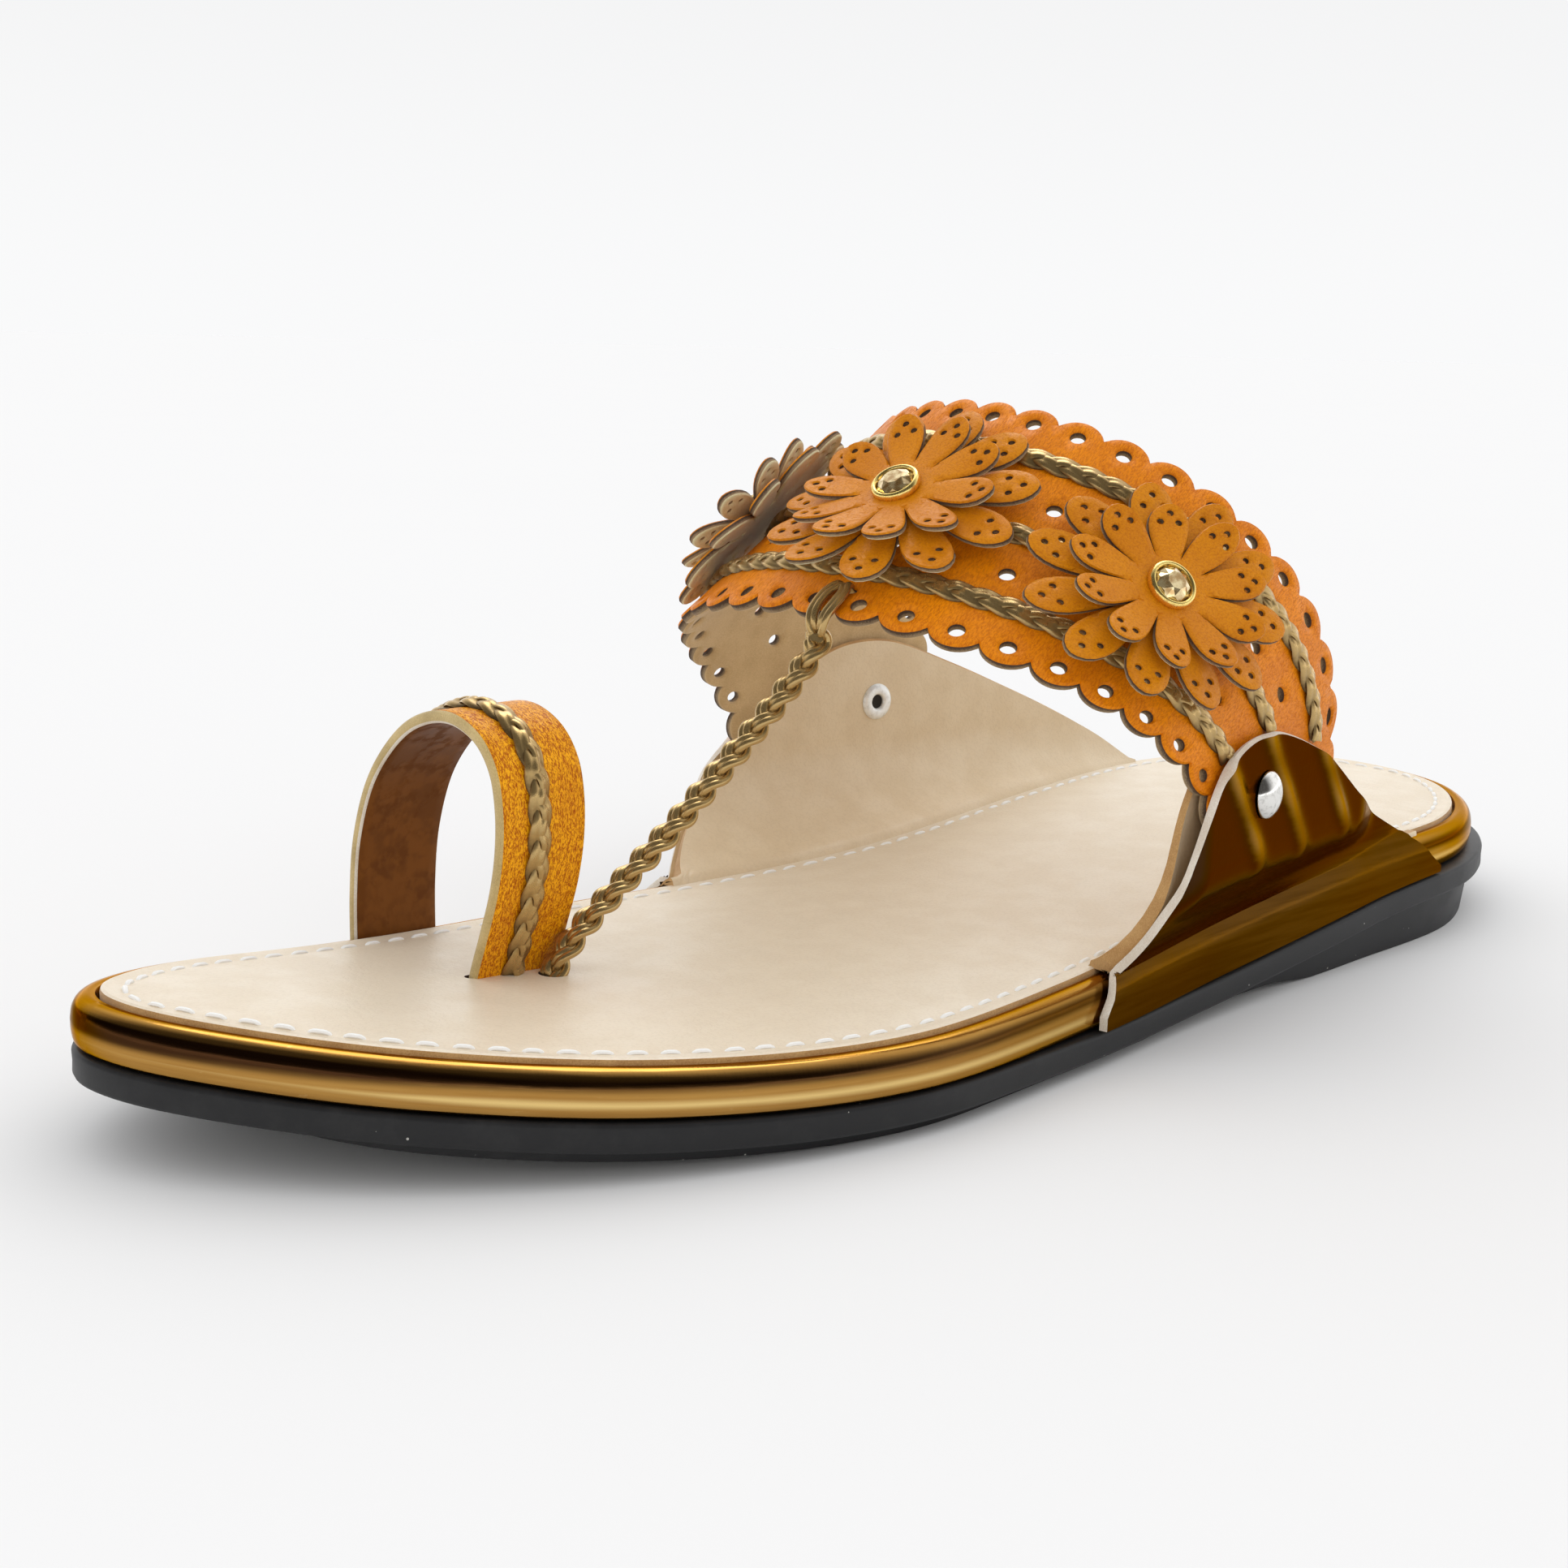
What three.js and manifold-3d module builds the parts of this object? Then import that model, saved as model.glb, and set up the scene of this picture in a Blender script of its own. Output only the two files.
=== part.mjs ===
// Left toe-loop sandal with a scalloped leather strap, braids and leather flowers.
// Millimetres, +Z up. The toe points to -X and the inner side of the foot is +Y.
// A station is the distance from the toe end of the insole toward the heel.
import * as THREE from 'three';
import { mergeVertices } from 'three/addons/utils/BufferGeometryUtils.js';
import Module from 'manifold-3d';

const wasm = await Module();
wasm.setup();

const CLEAR = 0.3;
const MID_STATION = 125.0;
const SIDE_SHIFT = 1.7;

// Sole
const INSOLE_LENGTH = 248;
const EDGE_STEPS = 28;
const BALL_HEIGHT = 12.1;
const TOE_SPRING = 7.1;
const TOE_SPRING_END = 80;
const HEEL_RISE = 5.9;
const HEEL_RISE_START = 95.5;
const HEEL_RISE_END = 206;
const BAND_HEIGHT = 6.55;
const BAND_SWELL = { rise: 1.6, station: 150, run: 40 };
const RIM_HEIGHT = 3.63;
const RIM_REACH = 3.35;
const LEDGE = { reach: 2.07, start: 90, run: 50 };
const INSOLE_THICK = 1.5;
const INSOLE_BEVEL = { height: 0.4, inset: 0.7 };
const ARCH = { start: 124, end: 170, run: 14, rise: 1.2 };
const HEEL_BEVEL = { start: 236, run: 12, rise: 1.2 };
const TREAD_INSET = { side: 2, toe: 5, toeRun: 12, heel: 2.5, heelStart: 225, heelRun: 23 };
const TREAD_TAPER = 0.8;
const RIM_ROUND = 0.5;
// Side of the wrapped band, from the rim up and over to the insole: inset from its widest line, then a
// height above the rim (up), a part of the band's height (part) or a depth below the insole's top (down)
const BAND_PROFILE = [
  { inset: 0.9, up: CLEAR },
  { inset: 0.15, up: 0.9 },
  { inset: 0, part: 0.5 },
  { inset: 0.5, down: 2.6 },
  { inset: 1.4, down: 1.4 },
  { inset: 2.4, down: 0.9 },
  { inset: 3.0, down: 1.05 },
  { inset: 3.05, down: INSOLE_THICK + CLEAR },
];

// station, outer side, inner side of the insole edge
const SOLE_EDGE = [
  [0, 13, 13],
  [6, -1.4, 23.7],
  [20, -16.5, 30.6],
  [45, -32.5, 32.9],
  [75, -41.4, 33.8],
  [105, -40.2, 30.6],
  [140, -36.9, 25.4],
  [180, -36.6, 26.4],
  [215, -34.9, 27.6],
  [240, -20.4, 20.4],
  [248, 0.8, 0.8],
];

// Strap: a straight band that wraps a slanted arch, medial end first
const STRAP_THICK = 1.6;
const STRAP_WIDTH = 45;
const STRAP_FOOT = 28;
const LOBES = 22;
const LOBE_DEPTH = 2.0;
// Part of a lobe by which the two edges run ahead of each other
const LOBE_PHASE = { front: -0.15, rear: 0.45 };
const ARCH_SHARPNESS = 0.6;
const ARCH_CENTRE = -1.8;
// half width, base height, rise, medial station, lateral station, forward lean
const FRONT_ARCH = { half: 46.3, base: 29, rise: 28.3, medial: 126.2, lateral: 124.7, lean: 32.5 };
const REAR_ARCH = { half: 40.5, base: 42, rise: 43, medial: 167.1, lateral: 164.2, lean: 37 };
const HOLE_RADIUS = 1.1;
const HOLE_SIDES = 5;
const HOLE_MARGIN = 2.5;
const PUNCH_DEPTH = 5;
const END_ROOM = 0.002;
// place along one lobe, part of the lobe's depth
const LOBE_SHAPE = [[0, 0], [0.24, 0.95], [0.76, 0.95]];
const EDGE_HOLE_ACROSS = { front: 0.065, rear: 0.932 };
const INNER_HOLE_ACROSS = [0.325, 0.62];
const INNER_HOLE_PITCH = 8.4;
const INNER_HOLE_PHASE = 0.85;

// Braids
const BRAID_WIDTH = 3.3;
const BRAID_THICK = 1.4;
const BRAID_PITCH = 4.3;
const BRAID_SHOULDER = 0.86;
const BRAID_HIGH = 0.8;
const BRAID_LOW = 0.5;
const BRAID_CREST = 0.92;
const STRAP_BRAIDS = [
  ['strap_braid_front', 0.195],
  ['strap_braid_middle', 0.475],
  ['strap_braid_rear', 0.785],
];

// Flowers: name, place along the strap, place across it
const FLOWERS = [
  ['medial', 0.29, 0.47],
  ['centre', 0.5386, 0.46],
  ['lateral', 0.775, 0.45],
];
const PETAL_THICK = 1.1;
const LOWER_PETALS = { count: 11, tip: 19, notch: 7, turn: 0.75 };
const UPPER_PETALS = { count: 10, tip: 14.5, notch: 5.5, turn: 0.25 };
// part of the way from notch to tip, part of half the pitch
const PETAL_OUTLINE = [[0, -1], [0.45, -0.9], [0.82, -0.62], [1, 0], [0.82, 0.62], [0.45, 0.9]];
const FLOWER_CURL = 0.012;
const BEZEL_RADIUS = 3.45;
const CRYSTAL_RADIUS = 2.4;
const POST_ROOM = 0.6;

// Wings
const SKIN_THICK = 1.2;
const LINING_THICK = 1.0;
const WING_UPRIGHT = 27;
const WING_STEPS = 16;
const WING_LEAN_ROOM = 0.75;
const WING_HUG = { room: 0.4, below: 3, run: 4.5 };
const LINING_FOOT = 1.5;
const LINING_INSET = 4;
// Pocket between lining and skin that holds the strap's end
const POCKET = { front: 114, frontRun: 8, back: 184, backRun: 12, low: 19, rise: 6, room: 0.9 };
const WING_LEVELS = [0, 0.4, 0.75, 1];
const RIVET_RADIUS = 3.3;
const WINGS = [
  {
    name: 'medial_wing',
    side: 1,
    plane: { station: 126.2, y: 44.5, slope: -0.142 },
    rivet: { station: 154, height: 34 },
    // station, height of the top edge
    top: [
      [97, 7.4], [102.5, 11.8], [108, 15.3], [117, 21.2], [124.5, 26.8], [130, 32], [135.5, 37.5], [142, 42.2],
      [149, 44.2], [157.5, 43.8], [169.5, 39.6], [182, 34.6], [195, 29], [205, 24], [212, 19.2], [218, 13],
    ],
  },
  {
    name: 'lateral_wing',
    side: -1,
    plane: { station: 124.7, y: -48, slope: 0.147 },
    rivet: { station: 138, height: 34 },
    top: [
      [109, 7.4], [113, 13.5], [116, 20], [119, 27.5], [122, 34], [127, 39.5], [135, 42],
      [144, 41.4], [159.5, 36], [173.5, 28], [188.5, 21], [196, 17], [203, 12.6],
    ],
  },
];

// Toe loop: side position and height of the middle of the leather, medial foot first
const LOOP_THICK = 1.6;
const LOOP_FRONT = 45.3;
const LOOP_BACK = 58.7;
const LOOP_BRAID_STATION = 51;
const LOOP_STEPS = 26;
const LOOP_MIDDLE = { y: 17, height: 28 };
// The loop's far foot stands this much nearer to the heel
const LOOP_SKEW = 1.4;
const LOOP_SLOT = { y: 7.1, width: 3, room: 0.8, depth: 12 };
const LOOP_BRAID_STEPS = 24;
const LOOP_BRAID_ENDS = [0.03, 0.965];
const LOOP_PATH = [
  [34.8, 13.1], [34.7, 19], [33.6, 27], [30.2, 35.2], [25, 41], [20, 44.3], [14, 46.1], [9.5, 46],
  [5, 44.1], [2.3, 40.8], [1.2, 36.2], [1.3, 30.8], [2.4, 25.5], [4.4, 20], [6.4, 15], [7.4, 12.0],
];

// Cord from the toe slot to the front edge of the strap
const CORD_RADIUS = 1.65;
const CORD_SIDES = 9;
const CORD_STEPS = 26;
const CORD_TURNS = 3;
const CORD_STRANDS = 3;
const CORD_STRAND_DEPTH = 0.1;
const CORD_HOLE_ROOM = 0.7;
const CORD_FOOT = { station: 55.2, y: 3.4, height: 11.5 };
// The first bends above the toe slot, as steps from the cord's foot
const CORD_RISE = [[0.7, -0.2, 2.4], [3.5, -1.1, 6.6]];
// The hook round the strap's front edge: steps across the strap and above its middle
const CORD_HOOK = [[-2.9, -1.6], [-2.1, 1.2], [0.3, 2.5]];
// The cord thins where it goes into the strap's slit
const CORD_END = { part: 0.86, radius: 0.62 };
const CORD_CUSP = 12;
const CORD_SLIT = { across: 0.112, length: 3.4, width: 1.0 };

const smooth = (t) => {
  const c = Math.min(1, Math.max(0, t));
  return c * c * (3 - 2 * c);
};
const mix = (a, b, t) => a + (b - a) * t;
const at = (station, y, z) => new THREE.Vector3(station - MID_STATION, y + SIDE_SHIFT, z);

// Smooth curve through the rows of a table, as a function of the first column
function readTable(rows, column, place) {
  const last = rows.length - 1;
  const p = Math.min(rows[last][0], Math.max(rows[0][0], place));
  let k = 0;
  while (k < last - 1 && rows[k + 1][0] < p) k += 1;
  const slope = (i) => {
    const a = rows[Math.max(0, i - 1)];
    const b = rows[Math.min(last, i + 1)];
    return (b[column] - a[column]) / (b[0] - a[0]);
  };
  const span = rows[k + 1][0] - rows[k][0];
  const t = (p - rows[k][0]) / span;
  const t2 = t * t;
  const t3 = t2 * t;
  return (2 * t3 - 3 * t2 + 1) * rows[k][column] + (t3 - 2 * t2 + t) * span * slope(k)
    + (3 * t2 - 2 * t3) * rows[k + 1][column] + (t3 - t2) * span * slope(k + 1);
}

// Closed mesh from points and triangles, turned so that its faces point out
function solid(points, triangles) {
  let volume = 0;
  for (const [a, b, c] of triangles) volume += points[a].dot(points[b].clone().cross(points[c]));
  const index = triangles.flatMap(([a, b, c]) => (volume > 0 ? [a, b, c] : [a, c, b]));
  const geometry = new THREE.BufferGeometry();
  const places = points.flatMap((p) => [p.x, p.y, p.z]);
  geometry.setAttribute('position', new THREE.Float32BufferAttribute(places, 3));
  geometry.setIndex(index);
  return geometry;
}

function bare(geometry) {
  geometry.deleteAttribute('normal');
  geometry.deleteAttribute('uv');
  return mergeVertices(geometry, 1e-4);
}

function toManifold(geometry) {
  return new wasm.Manifold(new wasm.Mesh({
    numProp: 3,
    vertProperties: Float32Array.from(geometry.attributes.position.array),
    triVerts: Uint32Array.from(geometry.index.array),
  }));
}

function fromManifold(body) {
  const mesh = body.getMesh();
  const geometry = new THREE.BufferGeometry();
  geometry.setAttribute('position', new THREE.Float32BufferAttribute(mesh.vertProperties, 3));
  geometry.setIndex(Array.from(mesh.triVerts));
  return geometry;
}

function cutAll(geometry, cutters) {
  let tools = toManifold(cutters[0]);
  for (const cutter of cutters.slice(1)) tools = tools.add(toManifold(cutter));
  return fromManifold(toManifold(geometry).subtract(tools));
}

// Wall between two equal grids of points
function slab(front, back) {
  const rows = front.length;
  const columns = front[0].length;
  const points = [...front.flat(), ...back.flat()];
  const id = (layer, i, j) => layer * rows * columns + i * columns + j;
  const triangles = [];
  const quad = (a, b, c, d) => triangles.push([a, b, c], [a, c, d]);
  for (let i = 0; i < rows - 1; i += 1) {
    for (let j = 0; j < columns - 1; j += 1) {
      quad(id(0, i, j), id(0, i + 1, j), id(0, i + 1, j + 1), id(0, i, j + 1));
      quad(id(1, i, j), id(1, i, j + 1), id(1, i + 1, j + 1), id(1, i + 1, j));
    }
    quad(id(0, i, 0), id(1, i, 0), id(1, i + 1, 0), id(0, i + 1, 0));
    quad(id(0, i, columns - 1), id(0, i + 1, columns - 1), id(1, i + 1, columns - 1), id(1, i, columns - 1));
  }
  for (let j = 0; j < columns - 1; j += 1) {
    quad(id(0, 0, j), id(0, 0, j + 1), id(1, 0, j + 1), id(1, 0, j));
    quad(id(0, rows - 1, j), id(1, rows - 1, j), id(1, rows - 1, j + 1), id(0, rows - 1, j + 1));
  }
  return solid(points, triangles);
}

// Section swept along frames { point, side, up }
function sweep(frames, sectionAt) {
  const points = [];
  const triangles = [];
  const count = sectionAt(0).length;
  frames.forEach((frame, k) => {
    for (const [across, lift] of sectionAt(k)) {
      points.push(frame.point.clone().addScaledVector(frame.side, across).addScaledVector(frame.up, lift));
    }
  });
  for (let k = 0; k < frames.length - 1; k += 1) {
    for (let j = 0; j < count; j += 1) {
      const a = k * count + j;
      const b = k * count + ((j + 1) % count);
      triangles.push([a, b, b + count], [a, b + count, a + count]);
    }
  }
  const end = (frames.length - 1) * count;
  for (let j = 1; j < count - 1; j += 1) {
    triangles.push([0, j + 1, j], [end, end + j, end + j + 1]);
  }
  return solid(points, triangles);
}

// Sole heights by station
const toeLift = (s) => TOE_SPRING * Math.max(0, 1 - s / TOE_SPRING_END) ** 2;
const heelLift = (s) => HEEL_RISE * smooth((s - HEEL_RISE_START) / (HEEL_RISE_END - HEEL_RISE_START));
const insoleTop = (s) => BALL_HEIGHT + toeLift(s) + heelLift(s);
const bandHeight = (s) => {
  const swell = Math.exp(-(((s - BAND_SWELL.station) / BAND_SWELL.run) ** 2));
  return BAND_HEIGHT + BAND_SWELL.rise * swell;
};
const rimTop = (s) => insoleTop(s) - bandHeight(s);
const rimBottom = (s) => rimTop(s) - RIM_HEIGHT;
const archLift = (s) => ARCH.rise * smooth((s - ARCH.start) / ARCH.run) * smooth((ARCH.end - s) / ARCH.run);
const heelBevel = (s) => HEEL_BEVEL.rise * smooth((s - HEEL_BEVEL.start) / HEEL_BEVEL.run);
const treadBottom = (s) => toeLift(s) + archLift(s) + heelBevel(s);
const rimReach = (s) => RIM_REACH + LEDGE.reach * Math.min(1, Math.max(0, (s - LEDGE.start) / LEDGE.run));
const treadInset = (s) => {
  const toe = TREAD_INSET.toe * Math.exp(-((s / TREAD_INSET.toeRun) ** 2));
  const heel = TREAD_INSET.heel * smooth((s - TREAD_INSET.heelStart) / TREAD_INSET.heelRun);
  return TREAD_INSET.side + toe + heel;
};

const endAngle = (station) => Math.acos(1 - (2 * station) / INSOLE_LENGTH);
const EDGE_BY_ANGLE = SOLE_EDGE.map(([station, outer, inner]) => [endAngle(station), outer, inner]);
const soleEdge = (station, side) => readTable(EDGE_BY_ANGLE, side > 0 ? 2 : 1, endAngle(station));

// Stations and outward directions around the insole edge, lateral side first
const EDGE_RING = [];
for (let k = 0; k < 2 * EDGE_STEPS; k += 1) {
  const side = k <= EDGE_STEPS ? -1 : 1;
  const turn = side < 0 ? k : 2 * EDGE_STEPS - k;
  const station = (INSOLE_LENGTH / 2) * (1 - Math.cos((Math.PI * turn) / EDGE_STEPS));
  EDGE_RING.push({ station, y: soleEdge(station, side) });
}
EDGE_RING.forEach((edge, k) => {
  const before = EDGE_RING[(k + EDGE_RING.length - 1) % EDGE_RING.length];
  const after = EDGE_RING[(k + 1) % EDGE_RING.length];
  const run = new THREE.Vector2(after.station - before.station, after.y - before.y).normalize();
  edge.out = new THREE.Vector2(run.y, -run.x);
});

function soleRing(reachAt, heightAt) {
  return EDGE_RING.map(({ station, y, out }) => {
    const reach = reachAt(station);
    return at(station + out.x * reach, y + out.y * reach, heightAt(station));
  });
}

// Body of rings stacked from the bottom up, closed straight across at both ends
function stack(rings) {
  const count = EDGE_RING.length;
  const triangles = [];
  for (let r = 0; r < rings.length - 1; r += 1) {
    for (let k = 0; k < count; k += 1) {
      const a = r * count + k;
      const b = r * count + ((k + 1) % count);
      triangles.push([a, b, b + count], [a, b + count, a + count]);
    }
  }
  const cap = (base, flip) => {
    const face = (a, b, c) => {
      const [second, third] = flip ? [c, b] : [b, c];
      triangles.push([base + a, base + second, base + third]);
    };
    face(0, 1, count - 1);
    for (let k = 1; k < EDGE_STEPS - 1; k += 1) {
      face(k, k + 1, count - k - 1);
      face(k, count - k - 1, count - k);
    }
    face(EDGE_STEPS - 1, EDGE_STEPS, EDGE_STEPS + 1);
  };
  cap(0, true);
  cap((rings.length - 1) * count, false);
  return solid(rings.flat(), triangles);
}

function makeOutsole() {
  return stack([
    soleRing((s) => rimReach(s) - treadInset(s) - TREAD_TAPER, treadBottom),
    soleRing((s) => rimReach(s) - treadInset(s), rimBottom),
    soleRing((s) => rimReach(s) - RIM_ROUND, rimBottom),
    soleRing(rimReach, (s) => rimBottom(s) + RIM_ROUND),
    soleRing(rimReach, (s) => rimTop(s) - RIM_ROUND),
    soleRing((s) => rimReach(s) - RIM_ROUND, rimTop),
  ]);
}

function makeMidsole() {
  return stack(BAND_PROFILE.map(({ inset, up, part, down }) => soleRing(() => RIM_REACH - inset, (s) => {
    if (down !== undefined) return insoleTop(s) - down;
    return rimTop(s) + (up ?? part * bandHeight(s));
  })));
}

function makeInsole() {
  const body = stack([
    soleRing(() => 0, (s) => insoleTop(s) - INSOLE_THICK),
    soleRing(() => 0, (s) => insoleTop(s) - INSOLE_BEVEL.height),
    soleRing(() => -INSOLE_BEVEL.inset, insoleTop),
  ]);
  const slotLength = LOOP_BACK - LOOP_FRONT + LOOP_SLOT.room;
  const slot = new THREE.BoxGeometry(slotLength, LOOP_SLOT.width, LOOP_SLOT.depth);
  slot.translate(...at((LOOP_FRONT + LOOP_BACK) / 2, LOOP_SLOT.y, insoleTop(LOOP_FRONT)));
  const holeRadius = CORD_RADIUS + CORD_HOLE_ROOM;
  const hole = new THREE.CylinderGeometry(holeRadius, holeRadius, LOOP_SLOT.depth, 10);
  hole.rotateX(Math.PI / 2);
  hole.translate(...at(CORD_FOOT.station, CORD_FOOT.y, CORD_FOOT.height));
  return cutAll(body, [bare(slot), bare(hole)]);
}

// Strap surface: turn 0 at the medial end and PI at the lateral end
function archPoint(arch, turn) {
  const c = Math.cos(turn);
  const s = Math.max(0, Math.sin(turn));
  return at(
    mix(arch.medial, arch.lateral, (1 - c) / 2) - arch.lean * s,
    ARCH_CENTRE + arch.half * c,
    arch.base + arch.rise * s ** ARCH_SHARPNESS,
  );
}
const strapRuling = (turn, across) => archPoint(FRONT_ARCH, turn).lerp(archPoint(REAR_ARCH, turn), across);

// Turns at even steps of length along the middle of the strap
const TURN_TABLE = [];
let strapLength = 0;
for (let k = 0; k <= 4000; k += 1) {
  const ease = k / 4000;
  const turn = Math.PI * (ease - Math.sin(2 * Math.PI * ease) / (2 * Math.PI));
  const point = strapRuling(turn, 0.5);
  if (k > 0) strapLength += point.distanceTo(TURN_TABLE[k - 1].point);
  TURN_TABLE.push({ turn, point, length: strapLength });
}
function strapTurn(along) {
  const want = along * strapLength;
  let low = 0;
  let high = TURN_TABLE.length - 1;
  while (high - low > 1) {
    const middle = (low + high) >> 1;
    if (TURN_TABLE[middle].length < want) low = middle;
    else high = middle;
  }
  const a = TURN_TABLE[low];
  const b = TURN_TABLE[high];
  return mix(a.turn, b.turn, (want - a.length) / (b.length - a.length));
}

// Place on the strap: along 0..1 between the wings, below 0 and above 1 on the ends inside them
function strapFrame(along, across) {
  const inside = Math.min(1, Math.max(0, along));
  const turn = strapTurn(inside);
  const point = strapRuling(turn, across);
  const step = 0.004;
  const run = strapRuling(Math.min(Math.PI, turn + step), across)
    .sub(strapRuling(Math.max(0, turn - step), across)).normalize();
  const side = archPoint(REAR_ARCH, turn).sub(archPoint(FRONT_ARCH, turn)).normalize();
  if (along < 0 || along > 1) point.z = STRAP_FOOT;
  if (along <= 0 || along >= 1) run.set(0, 0, along <= 0 ? 1 : -1);
  const up = run.clone().cross(side).normalize();
  return { point, run, side, up };
}
function strapPoint(along, across, lift) {
  const frame = strapFrame(along, across);
  return frame.point.addScaledVector(frame.up, lift);
}

const wingTop = (wing, station) => readTable(wing.top, 1, station);
function aboveWings(point, margin) {
  const wing = point.y > SIDE_SHIFT ? WINGS[0] : WINGS[1];
  return point.z > wingTop(wing, point.x + MID_STATION) + margin;
}

// Prism standing on the strap
function strapPunch(along, across, geometry) {
  const frame = strapFrame(along, across);
  const turn = new THREE.Matrix4().makeBasis(frame.run, frame.up, frame.run.clone().cross(frame.up));
  turn.setPosition(frame.point);
  return bare(geometry).applyMatrix4(turn);
}

const CORD_ALONG = (CORD_CUSP + LOBE_PHASE.front) / LOBES;

function makeStrap() {
  const columns = [[-LOBES, 0.5]];
  for (let lobe = 0; lobe < LOBES; lobe += 1) {
    for (const [t, rise] of LOBE_SHAPE) columns.push([lobe + t, rise]);
  }
  columns.push([LOBES, 0], [2 * LOBES, 0.5]);
  const lobeAlong = (place, phase) => {
    if (place < 0 || place >= LOBES) return place / LOBES;
    return Math.min(1 - END_ROOM, Math.max(END_ROOM, (place + phase) / LOBES));
  };
  const grid = (lift) => columns.map(([place, rise]) => {
    const cusp = (LOBE_DEPTH * (1 - rise)) / STRAP_WIDTH;
    return [
      strapPoint(lobeAlong(place, LOBE_PHASE.front), cusp, lift),
      strapPoint(lobeAlong(place, LOBE_PHASE.rear), 1 - cusp, lift),
    ];
  });
  const body = slab(grid(STRAP_THICK / 2), grid(-STRAP_THICK / 2));
  const cutters = [];
  const punch = () => new THREE.CylinderGeometry(HOLE_RADIUS, HOLE_RADIUS, PUNCH_DEPTH, HOLE_SIDES);
  const punchHole = (along, across) => {
    const shows = aboveWings(strapPoint(along, across, 0), HOLE_MARGIN);
    if (shows) cutters.push(strapPunch(along, across, punch()));
  };
  for (let lobe = 0; lobe < LOBES; lobe += 1) {
    for (const edge of ['front', 'rear']) {
      punchHole((lobe + 0.5 + LOBE_PHASE[edge]) / LOBES, EDGE_HOLE_ACROSS[edge]);
    }
  }
  const innerCount = Math.floor(strapLength / INNER_HOLE_PITCH);
  for (let k = 0; k < innerCount; k += 1) {
    for (const across of INNER_HOLE_ACROSS) punchHole((k + INNER_HOLE_PHASE) / innerCount, across);
  }
  const slit = new THREE.BoxGeometry(CORD_SLIT.length, PUNCH_DEPTH, CORD_SLIT.width);
  cutters.push(strapPunch(CORD_ALONG, CORD_SLIT.across, slit));
  return cutAll(body, cutters);
}

// Flat braid: the strips at its two sides stand high by turns
function braidSection(k) {
  const left = k % 2 === 0 ? BRAID_HIGH : BRAID_LOW;
  const right = k % 2 === 0 ? BRAID_LOW : BRAID_HIGH;
  const half = BRAID_WIDTH / 2;
  return [
    [-half, 0],
    [half, 0],
    [half * BRAID_SHOULDER, BRAID_THICK * right],
    [0, BRAID_THICK * BRAID_CREST],
    [-half * BRAID_SHOULDER, BRAID_THICK * left],
  ];
}

function makeStrapBraid(across) {
  const frames = [];
  const count = Math.round(strapLength / BRAID_PITCH);
  for (let k = 0; k <= count; k += 1) {
    const frame = strapFrame(k / count, across);
    const shows = (way) => aboveWings(frame.point.clone().addScaledVector(frame.side, way * BRAID_WIDTH), 1);
    if (shows(-0.6) && shows(0.6)) {
      frame.point.addScaledVector(frame.up, STRAP_THICK / 2 + CLEAR);
      frames.push(frame);
    }
  }
  return sweep(frames, braidSection);
}

function petalShape({ count, tip, notch, turn }) {
  const shape = new THREE.Shape();
  const pitch = (2 * Math.PI) / count;
  for (let petal = 0; petal < count; petal += 1) {
    PETAL_OUTLINE.forEach(([reach, spread], k) => {
      const radius = mix(notch, tip, reach);
      const angle = (petal + turn + spread * 0.5) * pitch;
      const x = radius * Math.cos(angle);
      const y = radius * Math.sin(angle);
      if (petal === 0 && k === 0) shape.moveTo(x, y);
      else shape.lineTo(x, y);
    });
  }
  shape.closePath();
  return shape;
}

// Layer of petals bent a little round the strap
function makePetals(frame, petals, lift) {
  const cut = { depth: PETAL_THICK, bevelEnabled: false };
  const geometry = bare(new THREE.ExtrudeGeometry(petalShape(petals), cut));
  const place = geometry.attributes.position;
  for (let k = 0; k < place.count; k += 1) {
    const p = place.getX(k);
    const q = place.getY(k);
    const drop = 0.5 * FLOWER_CURL * p * p;
    const point = frame.point.clone()
      .addScaledVector(frame.run, p)
      .addScaledVector(frame.side, q)
      .addScaledVector(frame.up, lift + place.getZ(k) - drop);
    place.setXYZ(k, point.x, point.y, point.z);
  }
  const readPoint = (_, k) => new THREE.Vector3().fromBufferAttribute(place, k);
  const points = Array.from({ length: place.count }, readPoint);
  const triangles = [];
  for (let k = 0; k < geometry.index.count; k += 3) {
    triangles.push([geometry.index.getX(k), geometry.index.getX(k + 1), geometry.index.getX(k + 2)]);
  }
  return solid(points, triangles);
}

// Turned piece standing on a point, its axis along a direction
function turned(profile, segments, point, direction) {
  const geometry = bare(new THREE.LatheGeometry(profile.map(([r, h]) => new THREE.Vector2(r, h)), segments));
  const turn = new THREE.Quaternion().setFromUnitVectors(new THREE.Vector3(0, 1, 0), direction);
  geometry.applyQuaternion(turn);
  geometry.translate(point.x, point.y, point.z);
  return geometry;
}

const BEZEL_PROFILE = [
  [2.75, 0], [BEZEL_RADIUS, 0], [BEZEL_RADIUS, 0.9], [3.1, 1.5], [2.75, 1.3], [2.75, 0],
];
const CRYSTAL_PROFILE = [[0, 0], [CRYSTAL_RADIUS, 0], [CRYSTAL_RADIUS, 0.8], [1.3, 1.7], [0, 1.7]];
const POST_PROFILE = [[0, 0], [2.2, 0], [2.0, 0.7], [1.2, 1.3], [0, 1.4]];
const CAP_PROFILE = [[0, 0], [RIVET_RADIUS, 0], [3.1, 0.6], [2.2, 1.3], [1.0, 1.65], [0, 1.7]];
const EYELET_PROFILE = [[1.2, 0], [3.0, 0], [2.7, 0.7], [1.5, 0.8], [1.2, 0]];

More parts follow.
